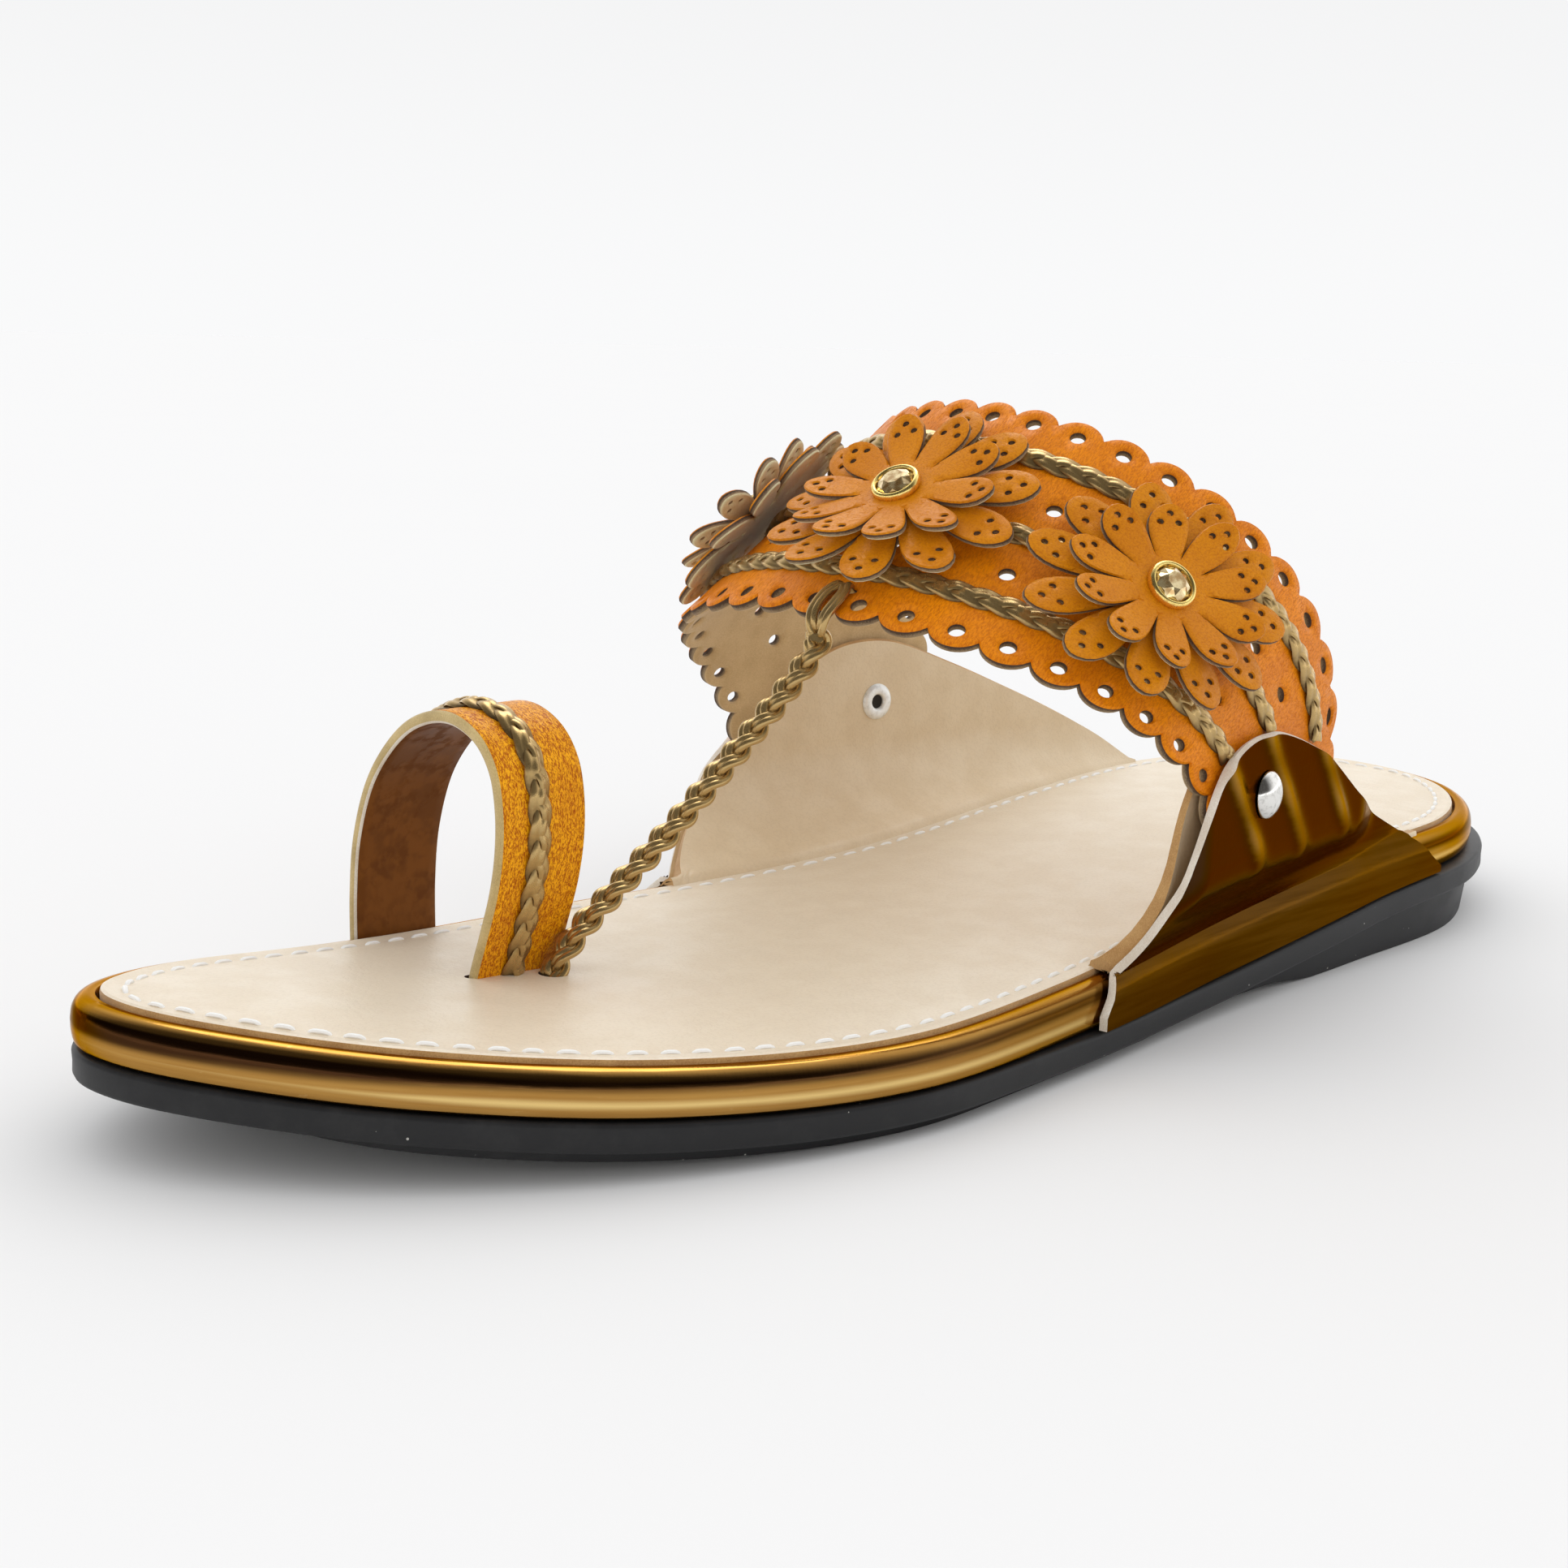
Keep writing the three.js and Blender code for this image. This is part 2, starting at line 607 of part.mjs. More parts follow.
// Outer face of a wing's lining, as a distance to its own side of the foot
function liningFace(wing, station, z) {
  const foot = wing.side * soleEdge(station, wing.side) + LINING_FOOT;
  const upright = wing.side * (wing.plane.y + wing.plane.slope * (station - wing.plane.station));
  const level = insoleTop(station);
  const h = Math.min(1, Math.max(0, (z - level) / (WING_UPRIGHT - level)));
  return mix(foot, upright - STRAP_THICK / 2 - CLEAR - WING_LEAN_ROOM, h * (2 - h));
}

// Room between lining and skin: wide where the strap lies between them
function wingRoom(station, z) {
  const behindFront = smooth((station - POCKET.front) / POCKET.frontRun);
  const beforeBack = smooth((POCKET.back - station) / POCKET.backRun);
  const high = smooth((z - POCKET.low) / POCKET.rise);
  return mix(POCKET.room, STRAP_THICK + 2 * CLEAR + WING_LEAN_ROOM, behindFront * beforeBack * high);
}

// Inner face of a wing's skin: it hugs the band, then leaves it for the lining
function skinFace(wing, station, z) {
  const hug = wing.side * soleEdge(station, wing.side) + RIM_REACH + WING_HUG.room;
  const open = liningFace(wing, station, z) + wingRoom(station, z);
  return mix(hug, open, smooth((z - insoleTop(station) + WING_HUG.below) / WING_HUG.run));
}

function wingGrid(wing, from, face, bottomAt) {
  const first = wing.top[0][0] + from;
  const last = wing.top[wing.top.length - 1][0] - from;
  const grid = [];
  for (let i = 0; i <= WING_STEPS; i += 1) {
    const station = mix(first, last, i / WING_STEPS);
    const low = bottomAt(station);
    const high = Math.max(low + 1.2, wingTop(wing, station));
    const level = Math.max(low, insoleTop(station));
    const rows = WING_LEVELS.map((part) => mix(level, WING_UPRIGHT, part));
    if (level - low > 2) rows.unshift(low, mix(low, level, 0.55));
    const squeeze = Math.min(1, (high - low) / (WING_UPRIGHT + 2 - low));
    const heights = [...rows.map((z) => low + (z - low) * squeeze), high];
    grid.push(heights.map((z) => at(station, wing.side * face(wing, station, z), z)));
  }
  return grid;
}

// The same grid moved along its own normals
function moved(grid, side, distance) {
  const rows = grid.length - 1;
  const columns = grid[0].length - 1;
  return grid.map((row, i) => row.map((point, j) => {
    const run = grid[Math.min(rows, i + 1)][j].clone().sub(grid[Math.max(0, i - 1)][j]);
    const rise = row[Math.min(columns, j + 1)].clone().sub(row[Math.max(0, j - 1)]);
    const normal = run.cross(rise).normalize();
    if (normal.y * side < 0) normal.negate();
    return point.clone().addScaledVector(normal, distance);
  }));
}

function makeWingSkin(wing) {
  const inner = wingGrid(wing, 0, skinFace, (s) => rimTop(s) + WING_HUG.room);
  return slab(inner, moved(inner, wing.side, SKIN_THICK));
}

function makeWingLining(wing) {
  const outer = wingGrid(wing, LINING_INSET, liningFace, (s) => insoleTop(s) - CLEAR);
  return slab(outer, moved(outer, wing.side, -LINING_THICK));
}

function wingRivet(wing) {
  const { station, height } = wing.rivet;
  const direction = new THREE.Vector3(-wing.plane.slope * wing.side, wing.side, 0).normalize();
  const inward = direction.clone().negate();
  const lining = at(station, wing.side * liningFace(wing, station, height), height);
  const skin = at(station, wing.side * skinFace(wing, station, height), height);
  return {
    cap: turned(CAP_PROFILE, 12, skin.addScaledVector(direction, SKIN_THICK + CLEAR), direction),
    eyelet: turned(EYELET_PROFILE, 12, lining.addScaledVector(inward, LINING_THICK + CLEAR), inward),
  };
}

// Toe loop frames: side across the band toward the heel, up away from the toe
const LOOP_CURVE = new THREE.CatmullRomCurve3(LOOP_PATH.map(([y, z]) => at(0, y, z)), false, 'centripetal');
function loopFrame(t, station) {
  const point = LOOP_CURVE.getPointAt(t);
  const run = LOOP_CURVE.getTangentAt(t);
  point.x = station - MID_STATION + LOOP_SKEW * smooth((point.y - SIDE_SHIFT) / LOOP_PATH[0][0]);
  const side = new THREE.Vector3(1, 0, 0);
  const up = run.clone().cross(side).normalize();
  if (up.dot(point.clone().sub(at(station, LOOP_MIDDLE.y, LOOP_MIDDLE.height))) < 0) up.negate();
  return { point, side, up };
}

function makeToeLoop() {
  const grid = (lift) => Array.from({ length: LOOP_STEPS + 1 }, (_, k) => {
    return [LOOP_FRONT, LOOP_BACK].map((station) => {
      const frame = loopFrame(k / LOOP_STEPS, station);
      return frame.point.addScaledVector(frame.up, lift);
    });
  });
  return slab(grid(LOOP_THICK / 2), grid(-LOOP_THICK / 2));
}

function makeLoopBraid() {
  const frames = [];
  for (let k = 0; k <= LOOP_BRAID_STEPS; k += 1) {
    const frame = loopFrame(mix(...LOOP_BRAID_ENDS, k / LOOP_BRAID_STEPS), LOOP_BRAID_STATION);
    frame.point.addScaledVector(frame.up, LOOP_THICK / 2 + CLEAR);
    frames.push(frame);
  }
  return sweep(frames, braidSection);
}

function makeCord() {
  const edge = strapFrame(CORD_ALONG, 0);
  const around = ([across, lift]) => edge.point.clone()
    .addScaledVector(edge.side, across)
    .addScaledVector(edge.up, lift);
  const foot = at(CORD_FOOT.station, CORD_FOOT.y, CORD_FOOT.height);
  const path = new THREE.CatmullRomCurve3([
    foot,
    ...CORD_RISE.map((step) => foot.clone().add(new THREE.Vector3(...step))),
    foot.clone().lerp(around(CORD_HOOK[0]), 0.5),
    ...CORD_HOOK.map(around),
    around([CORD_SLIT.across * STRAP_WIDTH, STRAP_THICK / 2 + CLEAR + CORD_RADIUS * CORD_END.radius]),
  ], false, 'centripetal');
  const frames = [];
  for (let k = 0; k <= CORD_STEPS; k += 1) {
    const t = k / CORD_STEPS;
    const run = path.getTangentAt(t);
    const side = edge.run.clone().addScaledVector(run, -edge.run.dot(run)).normalize();
    frames.push({ point: path.getPointAt(t), side, up: run.clone().cross(side).normalize() });
  }
  return sweep(frames, (k) => Array.from({ length: CORD_SIDES }, (_, j) => {
    const angle = (2 * Math.PI * j) / CORD_SIDES;
    const twist = (2 * Math.PI * CORD_TURNS * k) / CORD_STEPS;
    const strand = Math.cos(CORD_STRANDS * (angle + twist));
    const thin = mix(1, CORD_END.radius, smooth((k / CORD_STEPS - CORD_END.part) / (1 - CORD_END.part)));
    const radius = CORD_RADIUS * thin * (1 + CORD_STRAND_DEPTH * (strand - 1));
    return [radius * Math.cos(angle), radius * Math.sin(angle)];
  }));
}

const look = (color, roughness, metalness) => new THREE.MeshStandardMaterial({ color, roughness, metalness });
const RUBBER = look(0x2b2b2c, 0.65, 0);
const BRONZE = look(0x8a6430, 0.32, 0.7);
const BEIGE = look(0xd9c4a6, 0.6, 0);
const TAN = look(0xc8701a, 0.62, 0);
const BRAID = look(0x7d6a45, 0.4, 0.75);
const GOLD = look(0xc9a93f, 0.28, 1);
const SILVER = look(0xc9c9c6, 0.25, 1);
const CRYSTAL = look(0xd8c596, 0.08, 0);

const sandal = new THREE.Group();
function piece(name, geometry, material) {
  const mesh = new THREE.Mesh(geometry, material);
  mesh.name = name;
  sandal.add(mesh);
}

piece('outsole', makeOutsole(), RUBBER);
piece('midsole', makeMidsole(), BRONZE);
piece('insole', makeInsole(), BEIGE);
piece('strap', makeStrap(), TAN);
for (const [name, across] of STRAP_BRAIDS) piece(name, makeStrapBraid(across), BRAID);
for (const wing of WINGS) {
  const rivet = wingRivet(wing);
  piece(wing.name, makeWingSkin(wing), BRONZE);
  piece(`${wing.name}_lining`, makeWingLining(wing), BEIGE);
  piece(`${wing.name}_rivet_cap`, rivet.cap, SILVER);
  piece(`${wing.name}_eyelet`, rivet.eyelet, SILVER);
}
piece('toe_loop', makeToeLoop(), TAN);
piece('toe_loop_braid', makeLoopBraid(), BRAID);
piece('t_cord', makeCord(), BRAID);
for (const [name, along, across] of FLOWERS) {
  const frame = strapFrame(along, across);
  const lower = STRAP_THICK / 2 + BRAID_THICK + 2 * CLEAR;
  const upper = lower + PETAL_THICK + CLEAR;
  const crown = upper + PETAL_THICK + CLEAR;
  const onStrap = (lift) => frame.point.clone().addScaledVector(frame.up, lift);
  piece(`flower_${name}_lower`, makePetals(frame, LOWER_PETALS, lower), TAN);
  piece(`flower_${name}_upper`, makePetals(frame, UPPER_PETALS, upper), TAN);
  piece(`flower_${name}_bezel`, turned(BEZEL_PROFILE, 12, onStrap(crown), frame.up), GOLD);
  piece(`flower_${name}_crystal`, turned(CRYSTAL_PROFILE, 10, onStrap(crown), frame.up), CRYSTAL);
  const under = frame.up.clone().negate();
  piece(`flower_${name}_post`, turned(POST_PROFILE, 10, onStrap(-STRAP_THICK / 2 - POST_ROOM), under), GOLD);
}

export default sandal;
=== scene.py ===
# Looks of a left toe-loop sandal with a scalloped leather strap, flat braids and leather flowers.
import math
import random

import bpy
import numpy as np
from mathutils import Matrix, Vector
from mathutils.geometry import delaunay_2d_cdt


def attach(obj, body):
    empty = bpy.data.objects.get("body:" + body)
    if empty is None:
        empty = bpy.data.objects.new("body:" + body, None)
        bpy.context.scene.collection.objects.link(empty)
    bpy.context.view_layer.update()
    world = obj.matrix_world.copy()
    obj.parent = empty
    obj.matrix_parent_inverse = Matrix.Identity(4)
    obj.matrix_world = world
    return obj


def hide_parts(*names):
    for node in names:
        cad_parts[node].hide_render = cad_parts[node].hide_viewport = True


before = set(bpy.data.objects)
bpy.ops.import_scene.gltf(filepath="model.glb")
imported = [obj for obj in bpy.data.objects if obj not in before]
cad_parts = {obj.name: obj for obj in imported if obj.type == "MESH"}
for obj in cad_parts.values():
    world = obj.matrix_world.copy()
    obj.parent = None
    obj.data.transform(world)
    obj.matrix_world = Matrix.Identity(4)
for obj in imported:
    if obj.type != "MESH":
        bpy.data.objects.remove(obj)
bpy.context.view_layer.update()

# Lengths are in millimetres until a mesh is made. A station is the distance from the toe end of the
# insole toward the heel, and y grows toward the inner side of the foot.
MM = 0.001
MID_STATION = 125.0
SIDE_SHIFT = 1.7
FULL_TURN = 2 * math.pi
SPLINE_STEPS = 40

# Camera: where it stands and how it is turned, in degrees
CAMERA_PLACE = (-237.6, -201.0, 92.4)
CAMERA_TURN = 45.5
CAMERA_DIP = 11.5
CAMERA_ROLL = 1.25
CAMERA_ANGLE = 40.0
CAMERA_NEAR = 5.0

# Sole
INSOLE_LENGTH = 248.0
EDGE_STEPS = 110
BALL_HEIGHT = 12.1
TOE_SPRING = {"rise": 7.1, "end": 80.0}
# start, run and rise
HEEL = (95.5, 110.5, 5.9)
BAND_HEIGHT = 6.55
BAND_SWELL = {"rise": 1.6, "station": 150.0, "run": 40.0}
# inset from the band's widest line, height as a part of the band
BAND_PROFILE = [
    (1.3, 0.03), (0.75, 0.05), (0.2, 0.14), (0.0, 0.36), (0.02, 0.52), (0.16, 0.66), (0.55, 0.79),
    (1.2, 0.88), (1.9, 0.915), (2.55, 0.905), (3.0, 0.87), (3.1, 0.72),
]
# share, middle and width of the painted dark reflections along the band and of its painted highlight, as
# parts of its height
BAND_PAINTED_REFLECTIONS = ((0.85, 0.68, 0.15), (0.35, 0.0, 0.16), (-0.55, 0.36, 0.08))
# painted dark reflection over the middle of the band near the toe
BAND_TOE_DARK_REFLECTION = {"share": 0.6, "run": 30.0, "low": 0.1, "rise": 0.4, "high": 0.8}
RIM_HEIGHT = 3.63
RIM_REACH = 3.35
LEDGE = {"reach": 2.07, "start": 90.0, "run": 50.0}
ARCH = (124.0, 14.0, 1.2)
ARCH_END = 170.0
HEEL_BEVEL = (236.0, 12.0, 1.2)
TREAD_SIDE = 2.0
TREAD_TOE = {"inset": 5.0, "run": 12.0}
TREAD_HEEL = (225.0, 23.0, 2.5)
TREAD_TAPER = 0.8
INSOLE_THICK = 1.5
INSOLE_CROWN = {"rise": 0.5, "run": 16.0}
INSOLE_RIM = 0.9
# mesh points of the insole: step, first and last y, room at the edge; insets of the rows at the stitches
INSOLE_FILL = {"step": 2.5, "sides": (-46, 40), "room": 1.6}
INSOLE_ROWS = (1.9, 2.8, 3.7)
STITCH_INSET = 2.8
STITCH_GROOVE = {"deep": 0.28, "width": 0.9}
STITCH_PITCH = 3.9
STITCH_LENGTH = 2.7
STITCH_RADIUS = 0.34
STITCH_LIFT = 0.16
STITCH_DIP = 0.55
STITCH_FLAT = 0.85
# how far a stitch's place and length stray
STITCH_STRAY = (0.12, 0.2)
STITCH_SEED = 7
# station, outer side, inner side of the insole edge
SOLE_EDGE = [
    (0, 13, 13), (6, -1.4, 23.7), (20, -16.5, 30.6), (45, -32.5, 32.9), (75, -41.4, 33.8), (105, -40.2, 30.6),
    (140, -36.9, 25.4), (180, -36.6, 26.4), (215, -34.9, 27.6), (240, -20.4, 20.4), (248, 0.8, 0.8),
]

# Strap
STRAP_THICK = 1.6
STRAP_WIDTH = 45.0
# bevel of a cut edge along the sheet and down it
STRAP_BEVEL = (0.28, 0.3)
PETAL_BEVEL = (0.2, 0.24)
# mesh points of the strap: first and step along it, first, last and step across it
STRAP_FILL_ALONG = (0.6, 1.6)
STRAP_FILL_ACROSS = (2.9, 43.0, 2.2)
STRAP_ENDS = {"front": 2.0, "rear": 13.0}
LOBES = 22
LOBE_DEPTH = 2.0
LOBE_STEPS = 12
LOBE_PHASE = {"front": -0.15, "rear": 0.45}
ARCH_SHARPNESS = 0.6
ARCH_CENTRE = -1.8
FRONT_ARCH = {"half": 46.3, "base": 29.0, "rise": 28.3, "medial": 126.2, "lateral": 124.7, "lean": 32.5}
REAR_ARCH = {"half": 40.5, "base": 42.0, "rise": 43.0, "medial": 167.1, "lateral": 164.2, "lean": 37.0}
HOLE_RADIUS = 1.1
HOLE_SIDES = 18
OVAL_SIDES = 20
EDGE_HOLE_ACROSS = {"front": 0.065, "rear": 0.932}
INNER_HOLE_ACROSS = (0.325, 0.62)
INNER_HOLE_PITCH = 8.4
INNER_HOLE_PHASE = 0.85
HOLE_MARGIN = 2.5

# Braids
BRAID_WIDTH = 3.3
BRAID_THICK = 1.4
BRAID_LIFT = 0.56
# width, half width and half thickness of a strand, rise of a strand, period
FLAT_PLAIT = (3.6, 1.04, 0.34, 0.30, 11.4)
ROUND_PLAIT = (3.9, 0.98, 0.64, 0.70, 11.0)
STRAND_LEAN = 0.35
# painted light and shade of a flat strand: brightness at middle height, more for its rise and for its round
# back, so it is darker where it dips and underneath
FLAT_PAINTED_LIGHT = (0.45, 0.45, 0.198)
# painted light of the round cord's strands and of the bight: lighter on top of each strand
ROUND_PAINTED_LIGHT = (1.0, 0.25)
BIGHT_PAINTED_LIGHT = (0.95, 0.25)
STRAP_BRAIDS = (("strap_braid_front", 0.195), ("strap_braid_middle", 0.475), ("strap_braid_rear", 0.785))
# section of a strand: across and up, as parts of its half width and half thickness
STRAND = np.array([
    (1.0, 0.0), (0.86, 0.62), (0.55, 0.97), (0.22, 0.95), (0.0, 0.74), (-0.22, 0.95), (-0.55, 0.97),
    (-0.86, 0.62), (-1.0, 0.0), (-0.75, -0.7), (-0.3, -1.0), (0.3, -1.0), (0.75, -0.7),
])

# Flowers: name, place along the strap, place across it
FLOWERS = (("medial", 0.29, 0.47), ("centre", 0.5386, 0.46), ("lateral", 0.775, 0.45))
# how far a flower's petals stand up along the strap and toward its front edge
FLOWER_STAND = {"medial": (2.8, 0.0), "centre": (0.0, 3.4), "lateral": (0.0, 2.2)}
STAND_POWER = 1.4
PETAL_THICK = 1.1
# the petals' tips are raised by a length in the given span
LOWER_PETALS = {
    "count": 11, "tip": 19.0, "notch": 7.0, "turn": 0.75, "span": (-0.7, 0.9), "twist": 0.7, "cup": 0.35,
}
UPPER_PETALS = {
    "count": 10, "tip": 14.5, "notch": 5.5, "turn": 0.25, "span": (0.5, 2.0), "twist": 0.6, "cup": 0.45,
}
# part of the way from notch to tip, part of half the pitch
PETAL_HALF = [
    (0.0, 1.0), (0.14, 0.955), (0.30, 0.915), (0.46, 0.865), (0.61, 0.79), (0.74, 0.68), (0.85, 0.53),
    (0.93, 0.36), (0.98, 0.18),
]
# part of the tip's radius, part of half the pitch
PIN_HOLES = ((0.885, 0.0), (0.79, -0.34), (0.78, 0.34))
PIN_RADIUS = 0.47
PIN_SIDES = 10
FLOWER_CURL = 0.012
CRYSTAL_RADIUS = 2.75
CLEAR = 0.3
# radius and height of the turned forms
BEZEL = [
    (2.5, 0.0), (3.25, 0.0), (3.45, 0.25), (3.45, 0.8), (3.3, 1.15), (3.0, 1.3), (2.8, 1.2), (2.68, 0.9),
    (2.6, 0.4), (2.5, 0.0),
]
POST = [(0.0, 0.0), (2.2, 0.0), (2.3, 0.2), (2.1, 0.7), (1.5, 1.2), (0.8, 1.45), (0.0, 1.5)]
RIVET = [(0.0, 0.0), (3.3, 0.0), (3.35, 0.25), (3.1, 0.65), (2.4, 1.2), (1.4, 1.58), (0.0, 1.75)]
EYELET = [
    (1.15, -0.4), (1.2, 0.2), (1.4, 0.46), (1.9, 0.52), (2.5, 0.46), (2.95, 0.22), (3.05, 0.0), (2.0, -0.2),
    (1.15, -0.4),
]
# a near-black disc of painted shade closes the eyelet's hole
EYELET_HOLE = [(1.25, 0.02), (0.0, 0.02)]
RIVET_ROOM = {"skin": 0.1, "lining": 0.02}
BEZEL_ROOM = 0.05
POST_ROOM = 0.02
CRYSTAL_LIFT = 0.15

# Wings
SKIN_THICK = 1.2
LINING_THICK = 1.0
WING_UPRIGHT = 27.0
WING_LEAN_ROOM = 0.75
WING_HUG = {"room": 0.4, "below": 3.0, "run": 4.5}
WING_BEND = {"top": 2.2, "most": 0.45}
# least height, columns and rows of the wings' meshes
SKIN_GRID = (1.0, 190, 60)
LINING_GRID = (0.4, 90, 30)
# painted dark reflection on the wing skin, a little less low down, and a painted highlight on the braid
# ridges
SKIN_PAINTED_REFLECTION = {"low": 0.74, "run": 9.0, "ridge_highlight": 0.72}
LINING_FOOT = 1.5
LINING_INSET = 4.0
LINING_ONTO_INSOLE = 1.3
LINING_SPREAD = 1.6
LINING_FILL = 0.72
POCKET = {"front": 114.0, "front_run": 8.0, "back": 184.0, "back_run": 12.0, "low": 19.0, "rise": 6.0}
POCKET_ROOM = 0.9
RIDGE = {"height": 0.6, "half": 1.6, "lean": 0.8, "low": 19.0, "fade": 10.0}
# the braids' strands make the ridges rise and fall
RIDGE_BEAT = {"least": 0.85, "swing": 0.15, "length": 10.0, "shift": 9.0}
WINGS = (
    {
        "name": "medial_wing",
        "side": 1,
        "end": (126.2, 167.1),
        "plane": {"station": 126.2, "y": 44.5, "slope": -0.142},
        "rivet": (154.0, 34.0),
        # station, height of the top edge
        "top": [
            (97, 7.4), (102.5, 11.8), (108, 15.3), (117, 21.2), (124.5, 26.8), (130, 32), (135.5, 37.5),
            (142, 42.2), (149, 44.2), (157.5, 43.8), (169.5, 39.6), (182, 34.6), (195, 29), (205, 24),
            (212, 19.2), (218, 13),
        ],
    },
    {
        "name": "lateral_wing",
        "side": -1,
        "end": (124.7, 164.2),
        "plane": {"station": 124.7, "y": -48.0, "slope": 0.147},
        "rivet": (138.0, 34.0),
        "top": [
            (109, 7.4), (113, 13.5), (116, 20), (119, 27.5), (122, 34), (127, 39.5), (135, 42),
            (144, 41.4), (159.5, 36), (173.5, 28), (188.5, 21), (196, 17), (203, 12.6),
        ],
    },
)

# Toe loop
LOOP_THICK = 1.6
LOOP_BEVEL = 0.3
LOOP_FRONT = 45.3
LOOP_BACK = 58.7
LOOP_BRAID_STATION = 51.0
LOOP_BRAID_ENDS = (0.02, 0.975)
LOOP_SKEW = 1.4
LOOP_MIDDLE = (17.0, 28.0)
LOOP_SLOT = {"y": 7.25, "half": 0.92, "short": 0.5}
# side position and height of the middle of the leather, medial foot first
LOOP_PATH = [
    (34.8, 11.4), (34.7, 19), (33.6, 27), (30.2, 35.2), (25, 41), (20, 44.3), (14, 46.1), (9.5, 46),
    (5, 44.1), (2.3, 40.8), (1.2, 36.2), (1.3, 30.8), (2.4, 25.5), (4.4, 20), (6.4, 15), (7.4, 12.0),
]

# Cord from the toe slot to the front edge of the strap
CORD_RADIUS = 1.65
CORD_FOOT = (55.2, 3.4, 11.5)
CORD_EYE = {"ahead": 0.6, "room": 0.25}
CORD_RISE = ((0.7, -0.2, 2.4), (3.5, -1.1, 6.6))
CORD_HOOK = ((-2.9, -1.6), (-2.1, 1.2))
CORD_CUSP = 12
CORD_SLIT = 0.112 * STRAP_WIDTH
CORD_SLIT_HALF = (1.9, 0.55)
# a bight of the cord over the edge and into the slit: across, lift, half gap
CORD_BIGHT = (
    (-2.3, -1.2, 0.35), (-1.9, 0.3, 0.8), (-0.6, 1.45, 1.15), (1.6, 1.75, 1.35), (3.6, 1.65, 1.2),
    (CORD_SLIT, 1.35, 0.55), (CORD_SLIT + 0.5, 0.2, 0.35),
)
BIGHT_STRAND = (0.92, 0.58)

# Light of the studio, by direction
ROOM_BACK = (0.70, 0.70, 0.0)
MIRROR_BACK = (0.90, 0.43, 0.0)
ROOM_FILL = (0.92, 0.91, 0.90)
ROOM_PALE = (1.30, 1.31, 1.33)
OVERHEAD_LIGHT = (1.08, 1.08, 1.09)
OVERHEAD_EDGE = (0.42, 0.80)
ROOM_EDGE = (-0.45, 0.55)
MIRROR_EDGE = (-0.30, 0.55)
HORIZON_EDGE = (0.13, 0.03)
LAMP_EDGE = (0.92, 0.96)
BACKDROP_EDGE = (0.0, 0.22)
MIRROR_DARK = (0.065, 0.060, 0.056)
MIRROR_PALE = (1.15, 1.15, 1.16)
MIRROR_HORIZON = (2.1, 2.1, 2.1)
MIRROR_LAMP = (4.0, 4.0, 4.0)
LAMP_WAY = (0.44, 0.38, 0.81)
BACKDROP_LOW = (0.950, 0.952, 0.957)
BACKDROP_HIGH = (0.895, 0.896, 0.900)
FLOOR_HALF = 80.0


# Small maths

def smooth(t):
    t = np.clip(t, 0.0, 1.0)
    return t * t * (3 - 2 * t)


def rising(x, start, run, rise=1.0):
    """0 up to the start, and the whole rise from the end of the run."""
    return rise * smooth((x - start) / run)


def bell(x, width):
    """1 in the middle, falling off over the width."""
    return np.exp(-((x / width) ** 2))


def mix(a, b, t):
    return a + (b - a) * t


def unit(vectors):
    return vectors / np.linalg.norm(vectors, axis=-1, keepdims=True)


def square(hint, run):
    """The hint's part at right angles to the run, as a unit vector."""
    return unit(hint - run * np.sum(hint * run, axis=1, keepdims=True))


def columns(*values):
    """Values side by side, one row a point."""
    return np.stack(np.broadcast_arrays(*values), axis=-1).astype(float)


def pairs(first, second):
    """Every pair of two rows of values."""
    return columns(*np.meshgrid(first, second, indexing="ij")).reshape(-1, 2)


def place(station, y, z):
    return columns(np.subtract(station, MID_STATION), np.add(y, SIDE_SHIFT), z)


def read_table(rows, column, at):
    """Smooth curve through a table's rows, as a function of its first column."""
    table = np.asarray(rows, float)
    x = table[:, 0]
    y = table[:, column]
    after = np.minimum(np.arange(len(x)) + 1, len(x) - 1)
    before = np.maximum(np.arange(len(x)) - 1, 0)
    slope = (y[after] - y[before]) / (x[after] - x[before])
    p = np.clip(at, x[0], x[-1])
    k = np.clip(np.searchsorted(x, p) - 1, 0, len(x) - 2)
    span = x[k + 1] - x[k]
    t = (p - x[k]) / span
    rise = (2 * t**3 - 3 * t**2 + 1) * y[k] + (t**3 - 2 * t**2 + t) * span * slope[k]
    return rise + (3 * t**2 - 2 * t**3) * y[k + 1] + (t**3 - t**2) * span * slope[k + 1]


def run_length(points):
    return np.concatenate([[0.0], np.cumsum(np.linalg.norm(np.diff(points, axis=0), axis=1))])


def resample(points, steps):
    length = run_length(points)
    want = np.linspace(0, length[-1], steps + 1)
    return columns(*[np.interp(want, length, values) for values in points.T])


def spline(points, steps):
    """Points at even steps of length along a smooth curve through the given points."""
    p = [np.asarray(point, float) for point in points]
    p = [2 * p[0] - p[1], *p, 2 * p[-1] - p[-2]]
    t = np.linspace(0, 1, SPLINE_STEPS, endpoint=False)[:, None]
    spans = []
    for p0, p1, p2, p3 in zip(p, p[1:], p[2:], p[3:]):
        d0, d1, d2 = (np.linalg.norm(b - a) ** 0.5 for a, b in ((p0, p1), (p1, p2), (p2, p3)))
        m1 = d1 * ((p1 - p0) / d0 - (p2 - p0) / (d0 + d1) + (p2 - p1) / d1)
        m2 = d1 * ((p2 - p1) / d1 - (p3 - p1) / (d1 + d2) + (p3 - p2) / d2)
        second = 3 * p2 - 3 * p1 - 2 * m1 - m2
        third = 2 * p1 - 2 * p2 + m1 + m2
        spans.append(p1 + m1 * t + second * t**2 + third * t**3)
    return resample(np.vstack([*spans, p[-2]]), steps)


# Meshes

